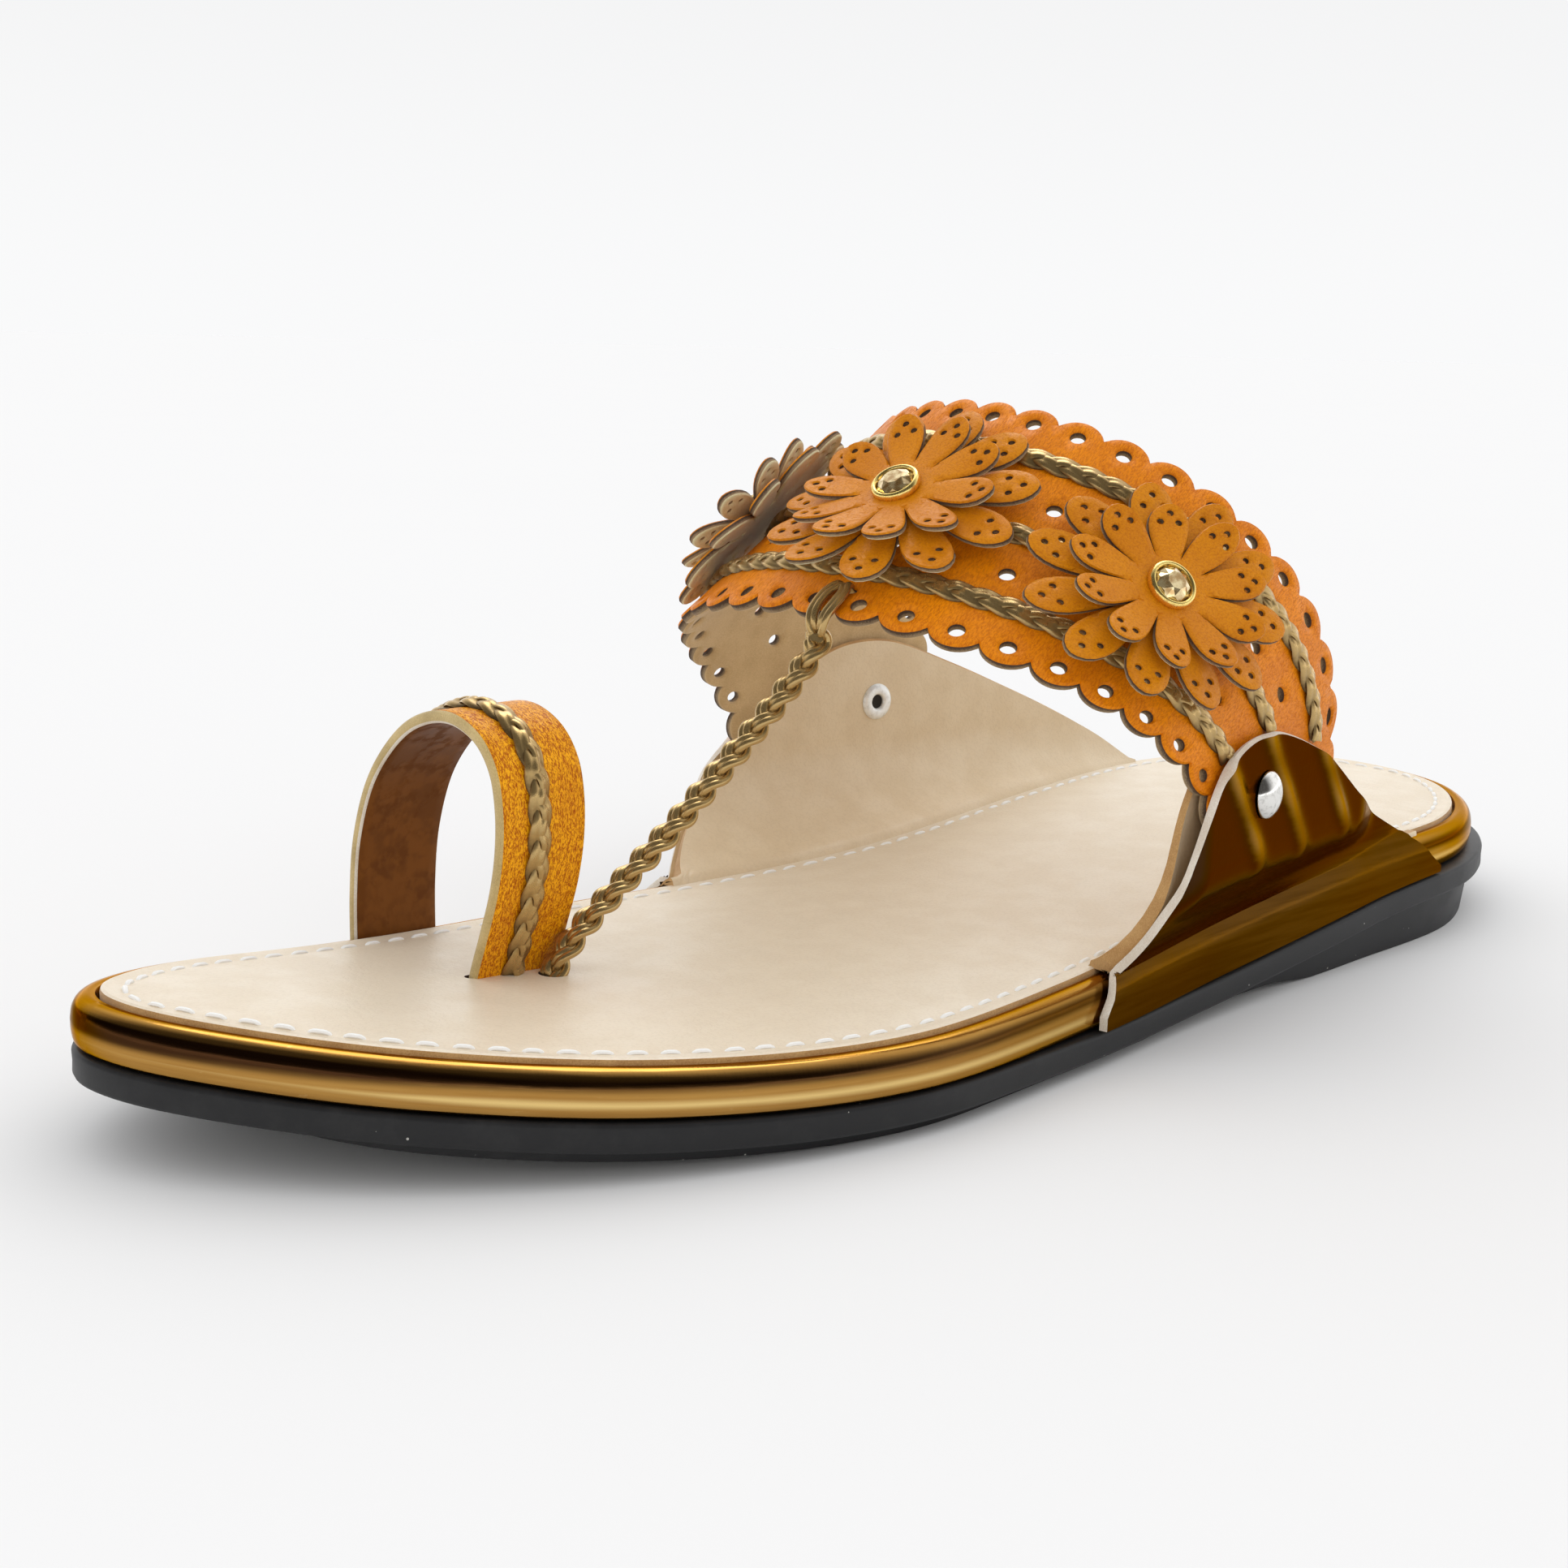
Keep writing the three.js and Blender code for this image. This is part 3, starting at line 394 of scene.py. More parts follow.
class Build:
    """Points, faces, face materials and guides of one piece. A guide is a place on its material."""

    def __init__(self):
        self.points = []
        self.faces = []
        self.slots = []
        self.guides = []
        self.count = 0

    def add(self, points, faces, slots=0, guide=None):
        points = np.asarray(points, float).reshape(-1, 3)
        self.points.append(points)
        self.guides.append(np.zeros_like(points) if guide is None else np.reshape(guide, (-1, 3)))
        self.faces.extend([[int(index) + self.count for index in face] for face in faces])
        self.slots.extend(slots if hasattr(slots, "__len__") else [slots] * len(faces))
        self.count += len(points)

    def piece(self, name, materials, slot, nodes=(), sharp=40.0):
        """Mesh in metres that rides on the sandal."""
        mesh = bpy.data.meshes.new(name)
        mesh.from_pydata((np.vstack(self.points) * MM).tolist(), [], self.faces)
        for material in materials:
            mesh.materials.append(material)
        mesh.polygons.foreach_set("material_index", np.asarray(self.slots, np.int32))
        guide = mesh.attributes.new("guide", "FLOAT_VECTOR", "POINT")
        guide.data.foreach_set("vector", np.vstack(self.guides).astype(np.float32).ravel())
        mesh.update()
        mesh.shade_smooth()
        mesh.set_sharp_from_angle(angle=math.radians(sharp))
        piece = bpy.data.objects.new(name, mesh)
        bpy.context.scene.collection.objects.link(piece)
        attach(piece, "root")
        if nodes:
            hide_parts(*nodes)


def ring_faces(rings, count, inward=False):
    """Faces between closed rings that have the same count of points."""
    faces = []
    for base in range(0, (rings - 1) * count, count):
        for j in range(count):
            j1 = (j + 1) % count
            face = (base + j1, base + count + j1, base + count + j, base + j)
            faces.append(face[::-1] if inward else face)
    return faces


def sweep(path, side, up, section, scale=1.0):
    """Closed bar along a path, through a section of rows across and up. Gives points and faces."""
    count = len(section)
    across, lift = np.asarray(section, float).T[:, None, :, None]
    shape = side[:, None, :] * across + up[:, None, :] * lift
    points = path[:, None, :] + np.reshape(scale, (-1, 1, 1)) * shape
    last = (len(path) - 1) * count
    caps = [tuple(range(count)), tuple(range(last, last + count))[::-1]]
    return points.reshape(-1, 3), ring_faces(len(path), count) + caps


def strand(path, hint, section, scale=1.0):
    """Closed bar along a path, with the top of its section toward the hint."""
    run = unit(np.gradient(path, axis=0))
    up = square(hint, run)
    return sweep(path, np.cross(run, up), up, section, scale)


def axis_ring(origin, axis, radius, height, count, shift=0.0):
    """Ring of points round an axis."""
    helper = (0.0, 0.0, 1.0) if abs(axis[2]) < 0.9 else (1.0, 0.0, 0.0)
    across = unit(np.cross(helper, axis))
    angle = FULL_TURN * (np.arange(count) + shift)[:, None] / count
    return origin + radius * (across * np.cos(angle) + np.cross(axis, across) * np.sin(angle)) + axis * height


def turned_piece(name, origin, axis, profiles, materials, slot, node):
    """Turned forms on a point along an axis, each with its profile, segments and own material."""
    build = Build()
    for number, (profile, segments) in enumerate(profiles):
        rows = [axis_ring(origin, axis, max(radius, 0.001), height, segments) for radius, height in profile]
        build.add(np.vstack(rows), ring_faces(len(rows), segments), number)
    build.piece(name, materials, slot, [node])


# Sole form

def toe_lift(s):
    return TOE_SPRING["rise"] * np.maximum(0, 1 - s / TOE_SPRING["end"]) ** 2


def insole_top(s):
    return BALL_HEIGHT + toe_lift(s) + rising(s, *HEEL)


def band_height(s):
    return BAND_HEIGHT + BAND_SWELL["rise"] * bell(s - BAND_SWELL["station"], BAND_SWELL["run"])


def rim_top(s):
    return insole_top(s) - band_height(s)


def tread_bottom(s):
    arch = rising(s, *ARCH) * smooth((ARCH_END - s) / ARCH[1])
    return toe_lift(s) + arch + rising(s, *HEEL_BEVEL)


def tread_inset(s):
    return TREAD_SIDE + TREAD_TOE["inset"] * bell(s, TREAD_TOE["run"]) + rising(s, *TREAD_HEEL)


def end_angle(station):
    return np.arccos(np.clip(1 - 2 * np.asarray(station, float) / INSOLE_LENGTH, -1, 1))


EDGE_BY_ANGLE = [(float(end_angle(station)), outer, inner) for station, outer, inner in SOLE_EDGE]


def sole_edge(station, side):
    return read_table(EDGE_BY_ANGLE, 2 if side > 0 else 1, end_angle(station))


def edge_ring():
    """Stations, side positions and outward directions round the insole edge, lateral side first."""
    k = np.arange(2 * EDGE_STEPS)
    lateral = k <= EDGE_STEPS
    turn = np.where(lateral, k, 2 * EDGE_STEPS - k)
    station = INSOLE_LENGTH / 2 * (1 - np.cos(math.pi * turn / EDGE_STEPS))
    y = np.where(lateral, sole_edge(station, -1), sole_edge(station, 1))
    points = columns(station, y)
    run = unit(np.roll(points, -1, axis=0) - np.roll(points, 1, axis=0))
    return station, y, columns(run[:, 1], -run[:, 0]), run_length(points)


EDGE_S, EDGE_Y, EDGE_OUT, EDGE_RUN = edge_ring()


def edge_line(reach):
    """The insole edge moved outward, as rows of station and y."""
    return columns(EDGE_S + EDGE_OUT[:, 0] * reach, EDGE_Y + EDGE_OUT[:, 1] * reach)


def sole_ring(reach, height):
    return place(*edge_line(reach).T, height)


def cap_faces(base, count, flip):
    """Faces straight across a ring, from its lateral side to its medial side."""
    half = count // 2
    faces = [(base, base + 1, base + count - 1)]
    faces += [(base + k, base + k + 1, base + count - k - 1, base + count - k) for k in range(1, half - 1)]
    faces.append((base + half - 1, base + half, base + half + 1))
    return [face[::-1] for face in faces] if flip else faces


def stack_rings(name, rings, marks, materials, slot, nodes, bottom=0, sharp=40.0):
    """Solid of rings round the sole, with marks for its guide and a material for its underside."""
    count = len(EDGE_S)
    steps = [np.linalg.norm(b - a, axis=1).mean() for a, b in zip(rings, rings[1:])]
    rise = np.concatenate([[0.0], np.cumsum(steps)])
    guide = columns(EDGE_RUN, rise[:, None], marks)
    sides = ring_faces(len(rings), count)
    low = cap_faces(0, count, True)
    high = cap_faces((len(rings) - 1) * count, count, False)
    build = Build()
    slots = [0] * len(sides) + [bottom] * len(low) + [0] * len(high)
    build.add(np.vstack(rings), sides + low + high, slots, guide)
    build.piece(name, materials, slot, nodes, sharp)


# Strap form

def arch_point(arch, turn):
    c = np.cos(turn)
    s = np.maximum(0, np.sin(turn))
    station = mix(arch["medial"], arch["lateral"], (1 - c) / 2) - arch["lean"] * s
    return place(station, ARCH_CENTRE + arch["half"] * c, arch["base"] + arch["rise"] * s**ARCH_SHARPNESS)


def strap_ruling(turn, across):
    front = arch_point(FRONT_ARCH, turn)
    return front + (arch_point(REAR_ARCH, turn) - front) * np.asarray(across)[..., None]


EASE = np.linspace(0, 1, 4001)
TURNS = math.pi * (EASE - np.sin(FULL_TURN * EASE) / FULL_TURN)
TURN_LENGTH = run_length(strap_ruling(TURNS, np.full(len(TURNS), 0.5)))
STRAP_LENGTH = float(TURN_LENGTH[-1])
TURN_STEP = 0.004
LOBE_PITCH = STRAP_LENGTH / LOBES
CORD_U = (CORD_CUSP + LOBE_PHASE["front"]) / LOBES * STRAP_LENGTH


def strap_frame(u, v):
    """Point, run, side and up on the strap at u along it and v across it, in millimetres."""
    u, v = np.broadcast_arrays(np.asarray(u, float), np.asarray(v, float))
    across = v / STRAP_WIDTH
    turn = np.interp(np.clip(u, 0, STRAP_LENGTH), TURN_LENGTH, TURNS)
    point = strap_ruling(turn, across)
    ahead = strap_ruling(np.minimum(math.pi, turn + TURN_STEP), across)
    run = unit(ahead - strap_ruling(np.maximum(0, turn - TURN_STEP), across))
    run[u <= 0] = (0, 0, 1)
    run[u >= STRAP_LENGTH] = (0, 0, -1)
    point[..., 2] -= np.maximum(0, -u) + np.maximum(0, u - STRAP_LENGTH)
    side = unit(arch_point(REAR_ARCH, turn) - arch_point(FRONT_ARCH, turn))
    return point, run, side, unit(np.cross(run, side))


def on_strap(u, v, lift):
    point, _, _, up = strap_frame(u, v)
    return point + up * np.asarray(lift, float)[..., None]


# Wing form

def lining_face(wing, station, z):
    foot = wing["side"] * sole_edge(station, wing["side"]) + LINING_FOOT
    plane = wing["plane"]
    upright = wing["side"] * (plane["y"] + plane["slope"] * (station - plane["station"]))
    level = insole_top(station)
    h = np.clip((z - level) / (WING_UPRIGHT - level), 0, 1)
    return mix(foot, upright - STRAP_THICK / 2 - CLEAR - WING_LEAN_ROOM, h * (2 - h))


def pocket(station, z):
    """1 where the strap's end lies between lining and skin, 0 away from it."""
    front = rising(station, POCKET["front"], POCKET["front_run"])
    back = smooth((POCKET["back"] - station) / POCKET["back_run"])
    return front * back * rising(z, POCKET["low"], POCKET["rise"])


def skin_face(wing, station, z):
    hug = wing["side"] * sole_edge(station, wing["side"]) + RIM_REACH + WING_HUG["room"]
    room = mix(POCKET_ROOM, STRAP_THICK + 2 * CLEAR + WING_LEAN_ROOM, pocket(station, z))
    away = smooth((z - insole_top(station) + WING_HUG["below"]) / WING_HUG["run"])
    return mix(hug, lining_face(wing, station, z) + room, away)


def wing_top(wing, station):
    return read_table(wing["top"], 1, station)


def above_wings(point, margin):
    station = point[..., 0] + MID_STATION
    top = np.where(point[..., 1] > SIDE_SHIFT, wing_top(WINGS[0], station), wing_top(WINGS[1], station))
    return point[..., 2] > top + margin


# Shader tools

class Look:
    """Node tree with short ways to add nodes. What a node takes is a number, a tuple or a socket."""

    def __init__(self, tree, material=None):
        self.tree = tree
        self.material = material

    def fill(self, node, inputs):
        for key, value in inputs.items():
            if isinstance(value, bpy.types.NodeSocket):
                self.tree.links.new(value, node.inputs[key])
            else:
                node.inputs[key].default_value = value

    def add(self, kind, inputs=None, **settings):
        """Outputs of a new shader node."""
        made = self.tree.nodes.new("ShaderNode" + kind)
        for key, value in settings.items():
            setattr(made, key, value)
        self.fill(made, inputs or {})
        return made.outputs

    def times(self, a, b):
        return self.add("Math", {0: a, 1: b}, operation="MULTIPLY")[0]

    def plus(self, a, b):
        return self.add("Math", {0: a, 1: b}, operation="ADD")[0]

    def vector(self, operation, inputs):
        return self.add("VectorMath", inputs, operation=operation)

    def ramp(self, value, low, high, first=0.0, last=1.0):
        """Goes smoothly from first to last while the value goes from low to high."""
        inputs = {"Value": value, "From Min": low, "From Max": high, "To Min": first, "To Max": last}
        return self.add("MapRange", inputs, interpolation_type="SMOOTHSTEP")["Result"]

    def between(self, mask, first, last):
        return self.add("MapRange", {"Value": mask, "To Min": first, "To Max": last})["Result"]

    def blend(self, mask, first, second):
        """Colour that goes from first to second by a mask."""
        ends = [(*colour, 1.0) if isinstance(colour, tuple) else colour for colour in (first, second)]
        return self.add("Mix", {0: mask, 6: ends[0], 7: ends[1]}, data_type="RGBA")[2]

    def millimetres(self):
        """Place on the piece in millimetres."""
        return self.vector("SCALE", {0: self.add("TexCoord")["Object"], "Scale": 1 / MM})["Vector"]

    def guide(self):
        """Place on the material: along, across and a mark, from the mesh."""
        return self.add("Attribute", attribute_name="guide")["Vector"]

    def third(self, vector):
        return self.add("SeparateXYZ", {"Vector": vector})["Z"]

    def stretched(self, vector, factors):
        return self.vector("MULTIPLY", {0: vector, 1: factors})["Vector"]

    def noise(self, vector, scale, detail=3.0, rough=0.55):
        inputs = {"Vector": vector, "Scale": scale, "Detail": detail, "Roughness": rough}
        return self.add("TexNoise", inputs)["Fac"]

    def group(self, tree, inputs):
        return self.add("Group", inputs, node_tree=tree)

    def dress(self, inputs, height=None, strength=0.0, depth=0.0):
        """Fills the shader and gives the material. A height adds a bump, with its depth in millimetres."""
        if height is not None:
            bump = self.add("Bump", {"Height": height, "Strength": strength, "Distance": depth * MM})
            inputs = {**inputs, "Normal": bump["Normal"]}
        self.fill(self.tree.nodes["Principled BSDF"], inputs)
        return self.material


def new_look(name):
    material = bpy.data.materials.new(name)
    material.use_nodes = True
    return Look(material.node_tree, material)


def new_group(name, inputs, outputs):
    """Shader node group. An input without a value is a vector, the others and all outputs are numbers."""
    tree = bpy.data.node_groups.new(name, "ShaderNodeTree")
    for label, value in inputs.items():
        kind = "NodeSocketVector" if value is None else "NodeSocketFloat"
        socket = tree.interface.new_socket(label, in_out="INPUT", socket_type=kind)
        if value is not None:
            socket.default_value = value
    for label in outputs:
        tree.interface.new_socket(label, in_out="OUTPUT", socket_type="NodeSocketFloat")
    return Look(tree), tree.nodes.new("NodeGroupInput").outputs, tree.nodes.new("NodeGroupOutput")


# Shared effects

def make_grain_group():
    """Leather grain: small cells with dark creases between them."""
    inputs = {"Place": None, "Cells per mm": 1.6, "Warp": 0.35}
    look, given, sink = new_group("leather grain", inputs, ("Height", "Crease", "Mottle"))
    spot = given["Place"]
    drift = look.add("TexNoise", {"Vector": spot, "Scale": 0.9, "Detail": 2.0})["Color"]
    warp = look.vector("SCALE", {0: drift, "Scale": given["Warp"]})["Vector"]
    moved = look.vector("ADD", {0: spot, 1: warp})["Vector"]
    inputs = {"Vector": moved, "Scale": given["Cells per mm"]}
    cells = look.add("TexVoronoi", inputs, feature="DISTANCE_TO_EDGE")["Distance"]
    crease = look.ramp(cells, 0.0, 0.22, 1.0, 0.0)
    broken = look.times(crease, look.ramp(look.noise(spot, 2.4), 0.40, 0.60))
    fine = look.times(look.noise(spot, 5.0, 4.0), 0.5)
    mottle = look.ramp(look.noise(spot, 0.16, 4.0), 0.35, 0.68)
    height = look.plus(fine, look.times(broken, -1.0))
    look.fill(sink, {"Height": height, "Crease": broken, "Mottle": mottle})
    return look.tree


def make_nap_group():
    """Nap of a raw or suede face: short fibres lying every way."""
    look, given, sink = new_group("leather nap", {"Place": None}, ("Height", "Shade"))
    spot = given["Place"]
    fibres = look.noise(look.stretched(spot, (2.0, 5.0, 3.0)), 1.6, 5.0, 0.7)
    shade = look.plus(look.times(fibres, 0.6), look.times(look.noise(spot, 0.22), 0.4))
    look.fill(sink, {"Height": fibres, "Shade": look.ramp(shade, 0.36, 0.64)})
    return look.tree


def make_foil_group():
    """Pressed foil: long streaks along the edge and fine ribs across it."""
    look, given, sink = new_group("pressed foil", {"Along": None}, ("Height", "Streak", "Rub"))
    # stretch along and across, detail and roughness of each noise
    streak, ribs, ripple, rub = (
        look.noise(look.stretched(given["Along"], (along, across, 1.0)), 1.0, detail, rough)
        for along, across, detail, rough in (
            (0.05, 1.1, 4.0, 0.6), (2.4, 0.25, 2.0, 0.5), (0.16, 0.5, 2.0, 0.5), (0.5, 0.9, 5.0, 0.7),
        )
    )
    height = look.plus(look.plus(look.times(ribs, 0.22), ripple), look.times(streak, 0.35))
    marks = {"Streak": look.ramp(streak, 0.36, 0.66), "Rub": look.ramp(rub, 0.62, 0.74)}
    look.fill(sink, {"Height": height, **marks})
    return look.tree


def make_dust_group():
    """Pale specks and a thin film of dust."""
    look, given, sink = new_group("dust", {"Place": None, "Amount": 0.5}, ("Specks", "Film"))
    spot = given["Place"]
    cells = look.add("TexVoronoi", {"Vector": spot, "Scale": 0.55})["Distance"]
    reach = look.times(look.ramp(look.noise(spot, 0.31, 1.0), 0.45, 0.75), given["Amount"])
    speck = look.add("Math", {0: cells, 1: look.times(reach, 0.16)}, operation="LESS_THAN")[0]
    film = look.ramp(look.noise(spot, 0.12, 5.0, 0.65), 0.42, 0.75)
    look.fill(sink, {"Specks": speck, "Film": look.times(film, given["Amount"])})
    return look.tree


GRAIN = make_grain_group()
NAP = make_nap_group()
FOIL = make_foil_group()
DUST = make_dust_group()


# Materials

def make_rubber():
    look = new_look("black moulded rubber")
    spot = look.millimetres()
    dust = look.group(DUST, {"Amount": 0.55, "Place": spot})
    body = look.blend(dust["Film"], (0.017, 0.017, 0.018), (0.038, 0.038, 0.038))
    inputs = {
        "Base Color": look.blend(dust["Specks"], body, (0.42, 0.41, 0.38)),
        "Roughness": look.between(dust["Film"], 0.46, 0.68),
        "Specular IOR Level": 0.25,
    }
    return look.dress(inputs, look.noise(spot, 3.5), 0.25, 0.05)


def make_tread():
    """Underside of the rubber: slanted ribs."""
    look = new_look("rubber tread")
    spot = look.millimetres()
    film = look.group(DUST, {"Amount": 0.8, "Place": spot})["Film"]
    colour = look.blend(film, (0.022, 0.022, 0.023), (0.075, 0.072, 0.068))
    wave = {"Vector": spot, "Scale": 0.05, "Distortion": 0.0}
    ribs = look.add("TexWave", wave, wave_type="BANDS", bands_direction="DIAGONAL")["Fac"]
    return look.dress({"Base Color": colour, "Roughness": 0.62}, look.ramp(ribs, 0.35, 0.65), 0.8, 0.7)


def make_bronze_foil():
    """Foil leather: its guide's mark above 0 is painted dark reflection, dark brown, and below 0 a painted
    highlight, pale gold.
    """
    look = new_look("bronze foil leather")
    along = look.guide()
    foil = look.group(FOIL, {"Along": along})
    gold = look.blend(foil["Streak"], (0.40, 0.205, 0.049), (0.47, 0.255, 0.064))
    gold = look.blend(look.times(foil["Rub"], 0.35), gold, (0.60, 0.38, 0.15))
    # painted reflection mark from the guide, with a little streak noise
    painted_reflection = look.plus(look.third(along), look.times(look.plus(foil["Streak"], -0.5), 0.07))
    # painted highlight: pale gold where the mark is below 0
    gold = look.blend(look.ramp(look.times(painted_reflection, -1.0), 0.0, 0.5), gold, (0.82, 0.58, 0.22))
    inputs = {
        # painted dark reflection: dark brown where the mark is above 0
        "Base Color": look.blend(look.ramp(painted_reflection, 0.1, 0.9), gold, (0.050, 0.021, 0.008)),
        "Metallic": 1.0,
        "Specular Tint": (0.70, 0.48, 0.28, 1.0),
        "Roughness": look.between(foil["Streak"], 0.22, 0.14),
    }
    return look.dress(inputs, foil["Height"], 0.12, 0.30)


def make_beige_leather(name, light, dark, gloss):
    look = new_look(name)
    spot = look.millimetres()
    grain = look.group(GRAIN, {"Cells per mm": 1.1, "Warp": 0.8, "Place": spot})
    tone = look.blend(grain["Mottle"], dark, light)
    wrinkle = look.noise(look.stretched(spot, (0.25, 0.08, 0.2)), 1.0, 4.0, 0.6)
    inputs = {
        "Base Color": look.blend(look.times(grain["Crease"], 0.10), tone, (0.40, 0.28, 0.16)),
        "Roughness": look.between(grain["Mottle"], gloss + 0.1, gloss),
        "Subsurface Weight": 0.06,
        "Subsurface Radius": (0.0012, 0.0008, 0.0005),
    }
    return look.dress(inputs, look.plus(look.times(grain["Height"], 0.12), wrinkle), 0.22, 0.5)


def make_tan_leather(name, light, dark, cells, dash, creases, freckles):
    """Dyed leather: short dark creases between pale cells, drawn out along the dash factors."""
    look = new_look(name)
    spot = look.stretched(look.guide(), dash)
    grain = look.group(GRAIN, {"Cells per mm": cells, "Warp": 0.5, "Place": spot})
    freckle = look.ramp(look.noise(spot, cells, 3.0, 0.65), 0.46, 0.60)
    tone = look.blend(grain["Mottle"], light, tuple(mix(a, b, 0.3) for a, b in zip(light, dark)))
    tone = look.blend(look.times(freckle, freckles), tone, dark)
    inputs = {
        "Base Color": look.blend(look.times(grain["Crease"], creases), tone, dark),
        "Roughness": look.between(grain["Crease"], 0.38, 0.6),
        "Specular IOR Level": 0.14,
    }
    return look.dress(inputs, grain["Height"], 0.3, 0.08)


def make_suede(name, light, dark):
    look = new_look(name)
    nap = look.group(NAP, {"Place": look.millimetres()})
    inputs = {
        "Base Color": look.blend(nap["Shade"], dark, light),
        "Roughness": 0.85,
        "Sheen Weight": 0.25,
        "Sheen Roughness": 0.5,
    }
    return look.dress(inputs, nap["Height"], 0.4, 0.15)


def make_raw_edge():
    """Cut edge: burnt dark at the grain side, pale fibres below."""
    look = new_look("raw leather edge")
    nap = look.group(NAP, {"Place": look.millimetres()})
    ragged = look.plus(look.third(look.guide()), look.times(nap["Shade"], 0.45))
    colour = look.blend(look.ramp(ragged, 0.4, 1.2), (0.07, 0.038, 0.02), (0.36, 0.26, 0.15))
    return look.dress({"Base Color": colour, "Roughness": 0.85}, nap["Height"], 0.5, 0.2)


def make_braid_metal():
    """Bronze cord: a painted highlight on its crests and painted shade in its recesses, from its guide's
    mark, broken up by noise of wear.
    """
    look = new_look("bronze cord with painted shade")
    spot = look.millimetres()
    wear = look.times(look.noise(spot, 1.8, 4.0, 0.6), 0.4)
    crest = look.ramp(look.plus(look.third(look.guide()), wear), 0.25, 1.1)
    inputs = {
        "Base Color": look.blend(crest, (0.06, 0.035, 0.014), (0.52, 0.355, 0.145)),
        "Metallic": 0.85,
        "Roughness": look.between(crest, 0.52, 0.27),
    }
    return look.dress(inputs, look.noise(spot, 4.5), 0.2, 0.05)


def make_mottled(name, first, second, grain, inputs, span=None, bump=()):
    """Two colours mixed by noise. The grain is the noise's scale, detail and roughness."""
    look = new_look(name)
    tone = look.noise(look.millimetres(), *grain)
    if span:
        tone = look.ramp(tone, *span)
    inputs = {**inputs, "Base Color": look.blend(tone, first, second)}
    if isinstance(inputs["Roughness"], tuple):
        inputs["Roughness"] = look.between(tone, *inputs["Roughness"])
    return look.dress(inputs, tone if bump else None, *bump)


def make_metal(name, colour, dull, roughness, metallic):
    inputs = {"Metallic": metallic, "Roughness": (roughness, roughness + 0.16)}
    return make_mottled(name, colour, dull, (1.4, 5.0, 0.65), inputs, (0.45, 0.75))


# a foil-backed stone: clear coat over bright champagne facets
STONE = {"Metallic": 0.8, "Roughness": 0.05, "Coat Weight": 1.0, "Coat Roughness": 0.02}
COTTON = {"Roughness": 0.6}
HOLLOW = {"Roughness": 0.8}
MATT = {"Roughness": 1.0, "Specular IOR Level": 0.0}
RUBBER = make_rubber()
TREAD = make_tread()
FOIL_LEATHER = make_bronze_foil()
INSOLE_LEATHER = make_beige_leather("insole leather", (0.79, 0.685, 0.53), (0.76, 0.65, 0.495), 0.38)
LINING_LEATHER = make_beige_leather("lining leather", (0.75, 0.61, 0.42), (0.71, 0.565, 0.375), 0.40)
# name, light and dark colour, cells per millimetre, dash factors, shares of creases and freckles
STRAP_LEATHER, LOOP_LEATHER, PETAL_LEATHER, LOOP_INSIDE = (make_tan_leather(*row) for row in (
    ("strap leather", (0.84, 0.265, 0.002), (0.47, 0.095, 0.001), 4.2, (1.0, 0.3, 1.0), 0.5, 0.45),
    ("toe loop leather", (1.0, 0.46, 0.008), (0.37, 0.055, 0.001), 5.4, (0.42, 1.0, 1.0), 0.8, 0.8),
    ("petal leather", (0.68, 0.245, 0.003), (0.40, 0.09, 0.001), 4.2, (0.7, 0.7, 1.0), 0.2, 0.35),
    ("toe loop inside", (0.21, 0.072, 0.012), (0.10, 0.030, 0.005), 0.6, (0.3, 0.3, 1.0), 0.25, 0.4),
))
# name, light and dark colour
STRAP_UNDER, PETAL_UNDER, LOOP_EDGE, INSOLE_EDGE, CUT_EDGE = (make_suede(*row) for row in (
    ("strap underside", (0.64, 0.46, 0.24), (0.52, 0.355, 0.17)),
    ("petal underside", (0.86, 0.88, 0.60), (0.66, 0.64, 0.38)),
    ("toe loop edge", (0.64, 0.48, 0.21), (0.42, 0.30, 0.11)),
    ("insole edge", (0.60, 0.36, 0.14), (0.42, 0.22, 0.07)),
    ("wing cut edge", (0.84, 0.79, 0.70), (0.66, 0.56, 0.44)),
))
RAW_EDGE = make_raw_edge()
BRAID_METAL = make_braid_metal()
# name, bright and dull colour, roughness, metallic share
GOLD, SILVER, EYELET_SILVER = (make_metal(*row) for row in (
    ("gold plate", (0.98, 0.76, 0.26), (0.70, 0.48, 0.14), 0.24, 1.0),
    ("silver plate", (0.80, 0.79, 0.76), (0.50, 0.49, 0.46), 0.14, 1.0),
    ("dull silver", (0.88, 0.89, 0.88), (0.70, 0.70, 0.68), 0.38, 0.5),
))
# name, two colours, noise, shader values, then the noise's span and its bump where there are any
CRYSTAL, THREAD, HOLE_SHADE, PALE_FLOOR = (make_mottled(*row) for row in (
    # painted reflection: the crystal's noise goes from dark amber to bright champagne like dark and lit
    # facets
    ("champagne crystal", (0.50, 0.30, 0.10), (1.0, 0.82, 0.45), (0.9, 2.0), STONE, (0.3, 0.7)),
    ("white thread", (0.86, 0.85, 0.82), (0.95, 0.945, 0.93), (4.0, 2.0), COTTON, None, (0.3, 0.08)),
    # painted shade: a near-black material that closes holes in place of their dark inside
    ("painted hole shade", (0.006, 0.005, 0.004), (0.02, 0.015, 0.01), (1.0, 2.0), HOLLOW),
    ("pale floor", (0.872, 0.872, 0.869), (0.878, 0.878, 0.875), (0.004, 2.0), MATT),
))


# Sole pieces

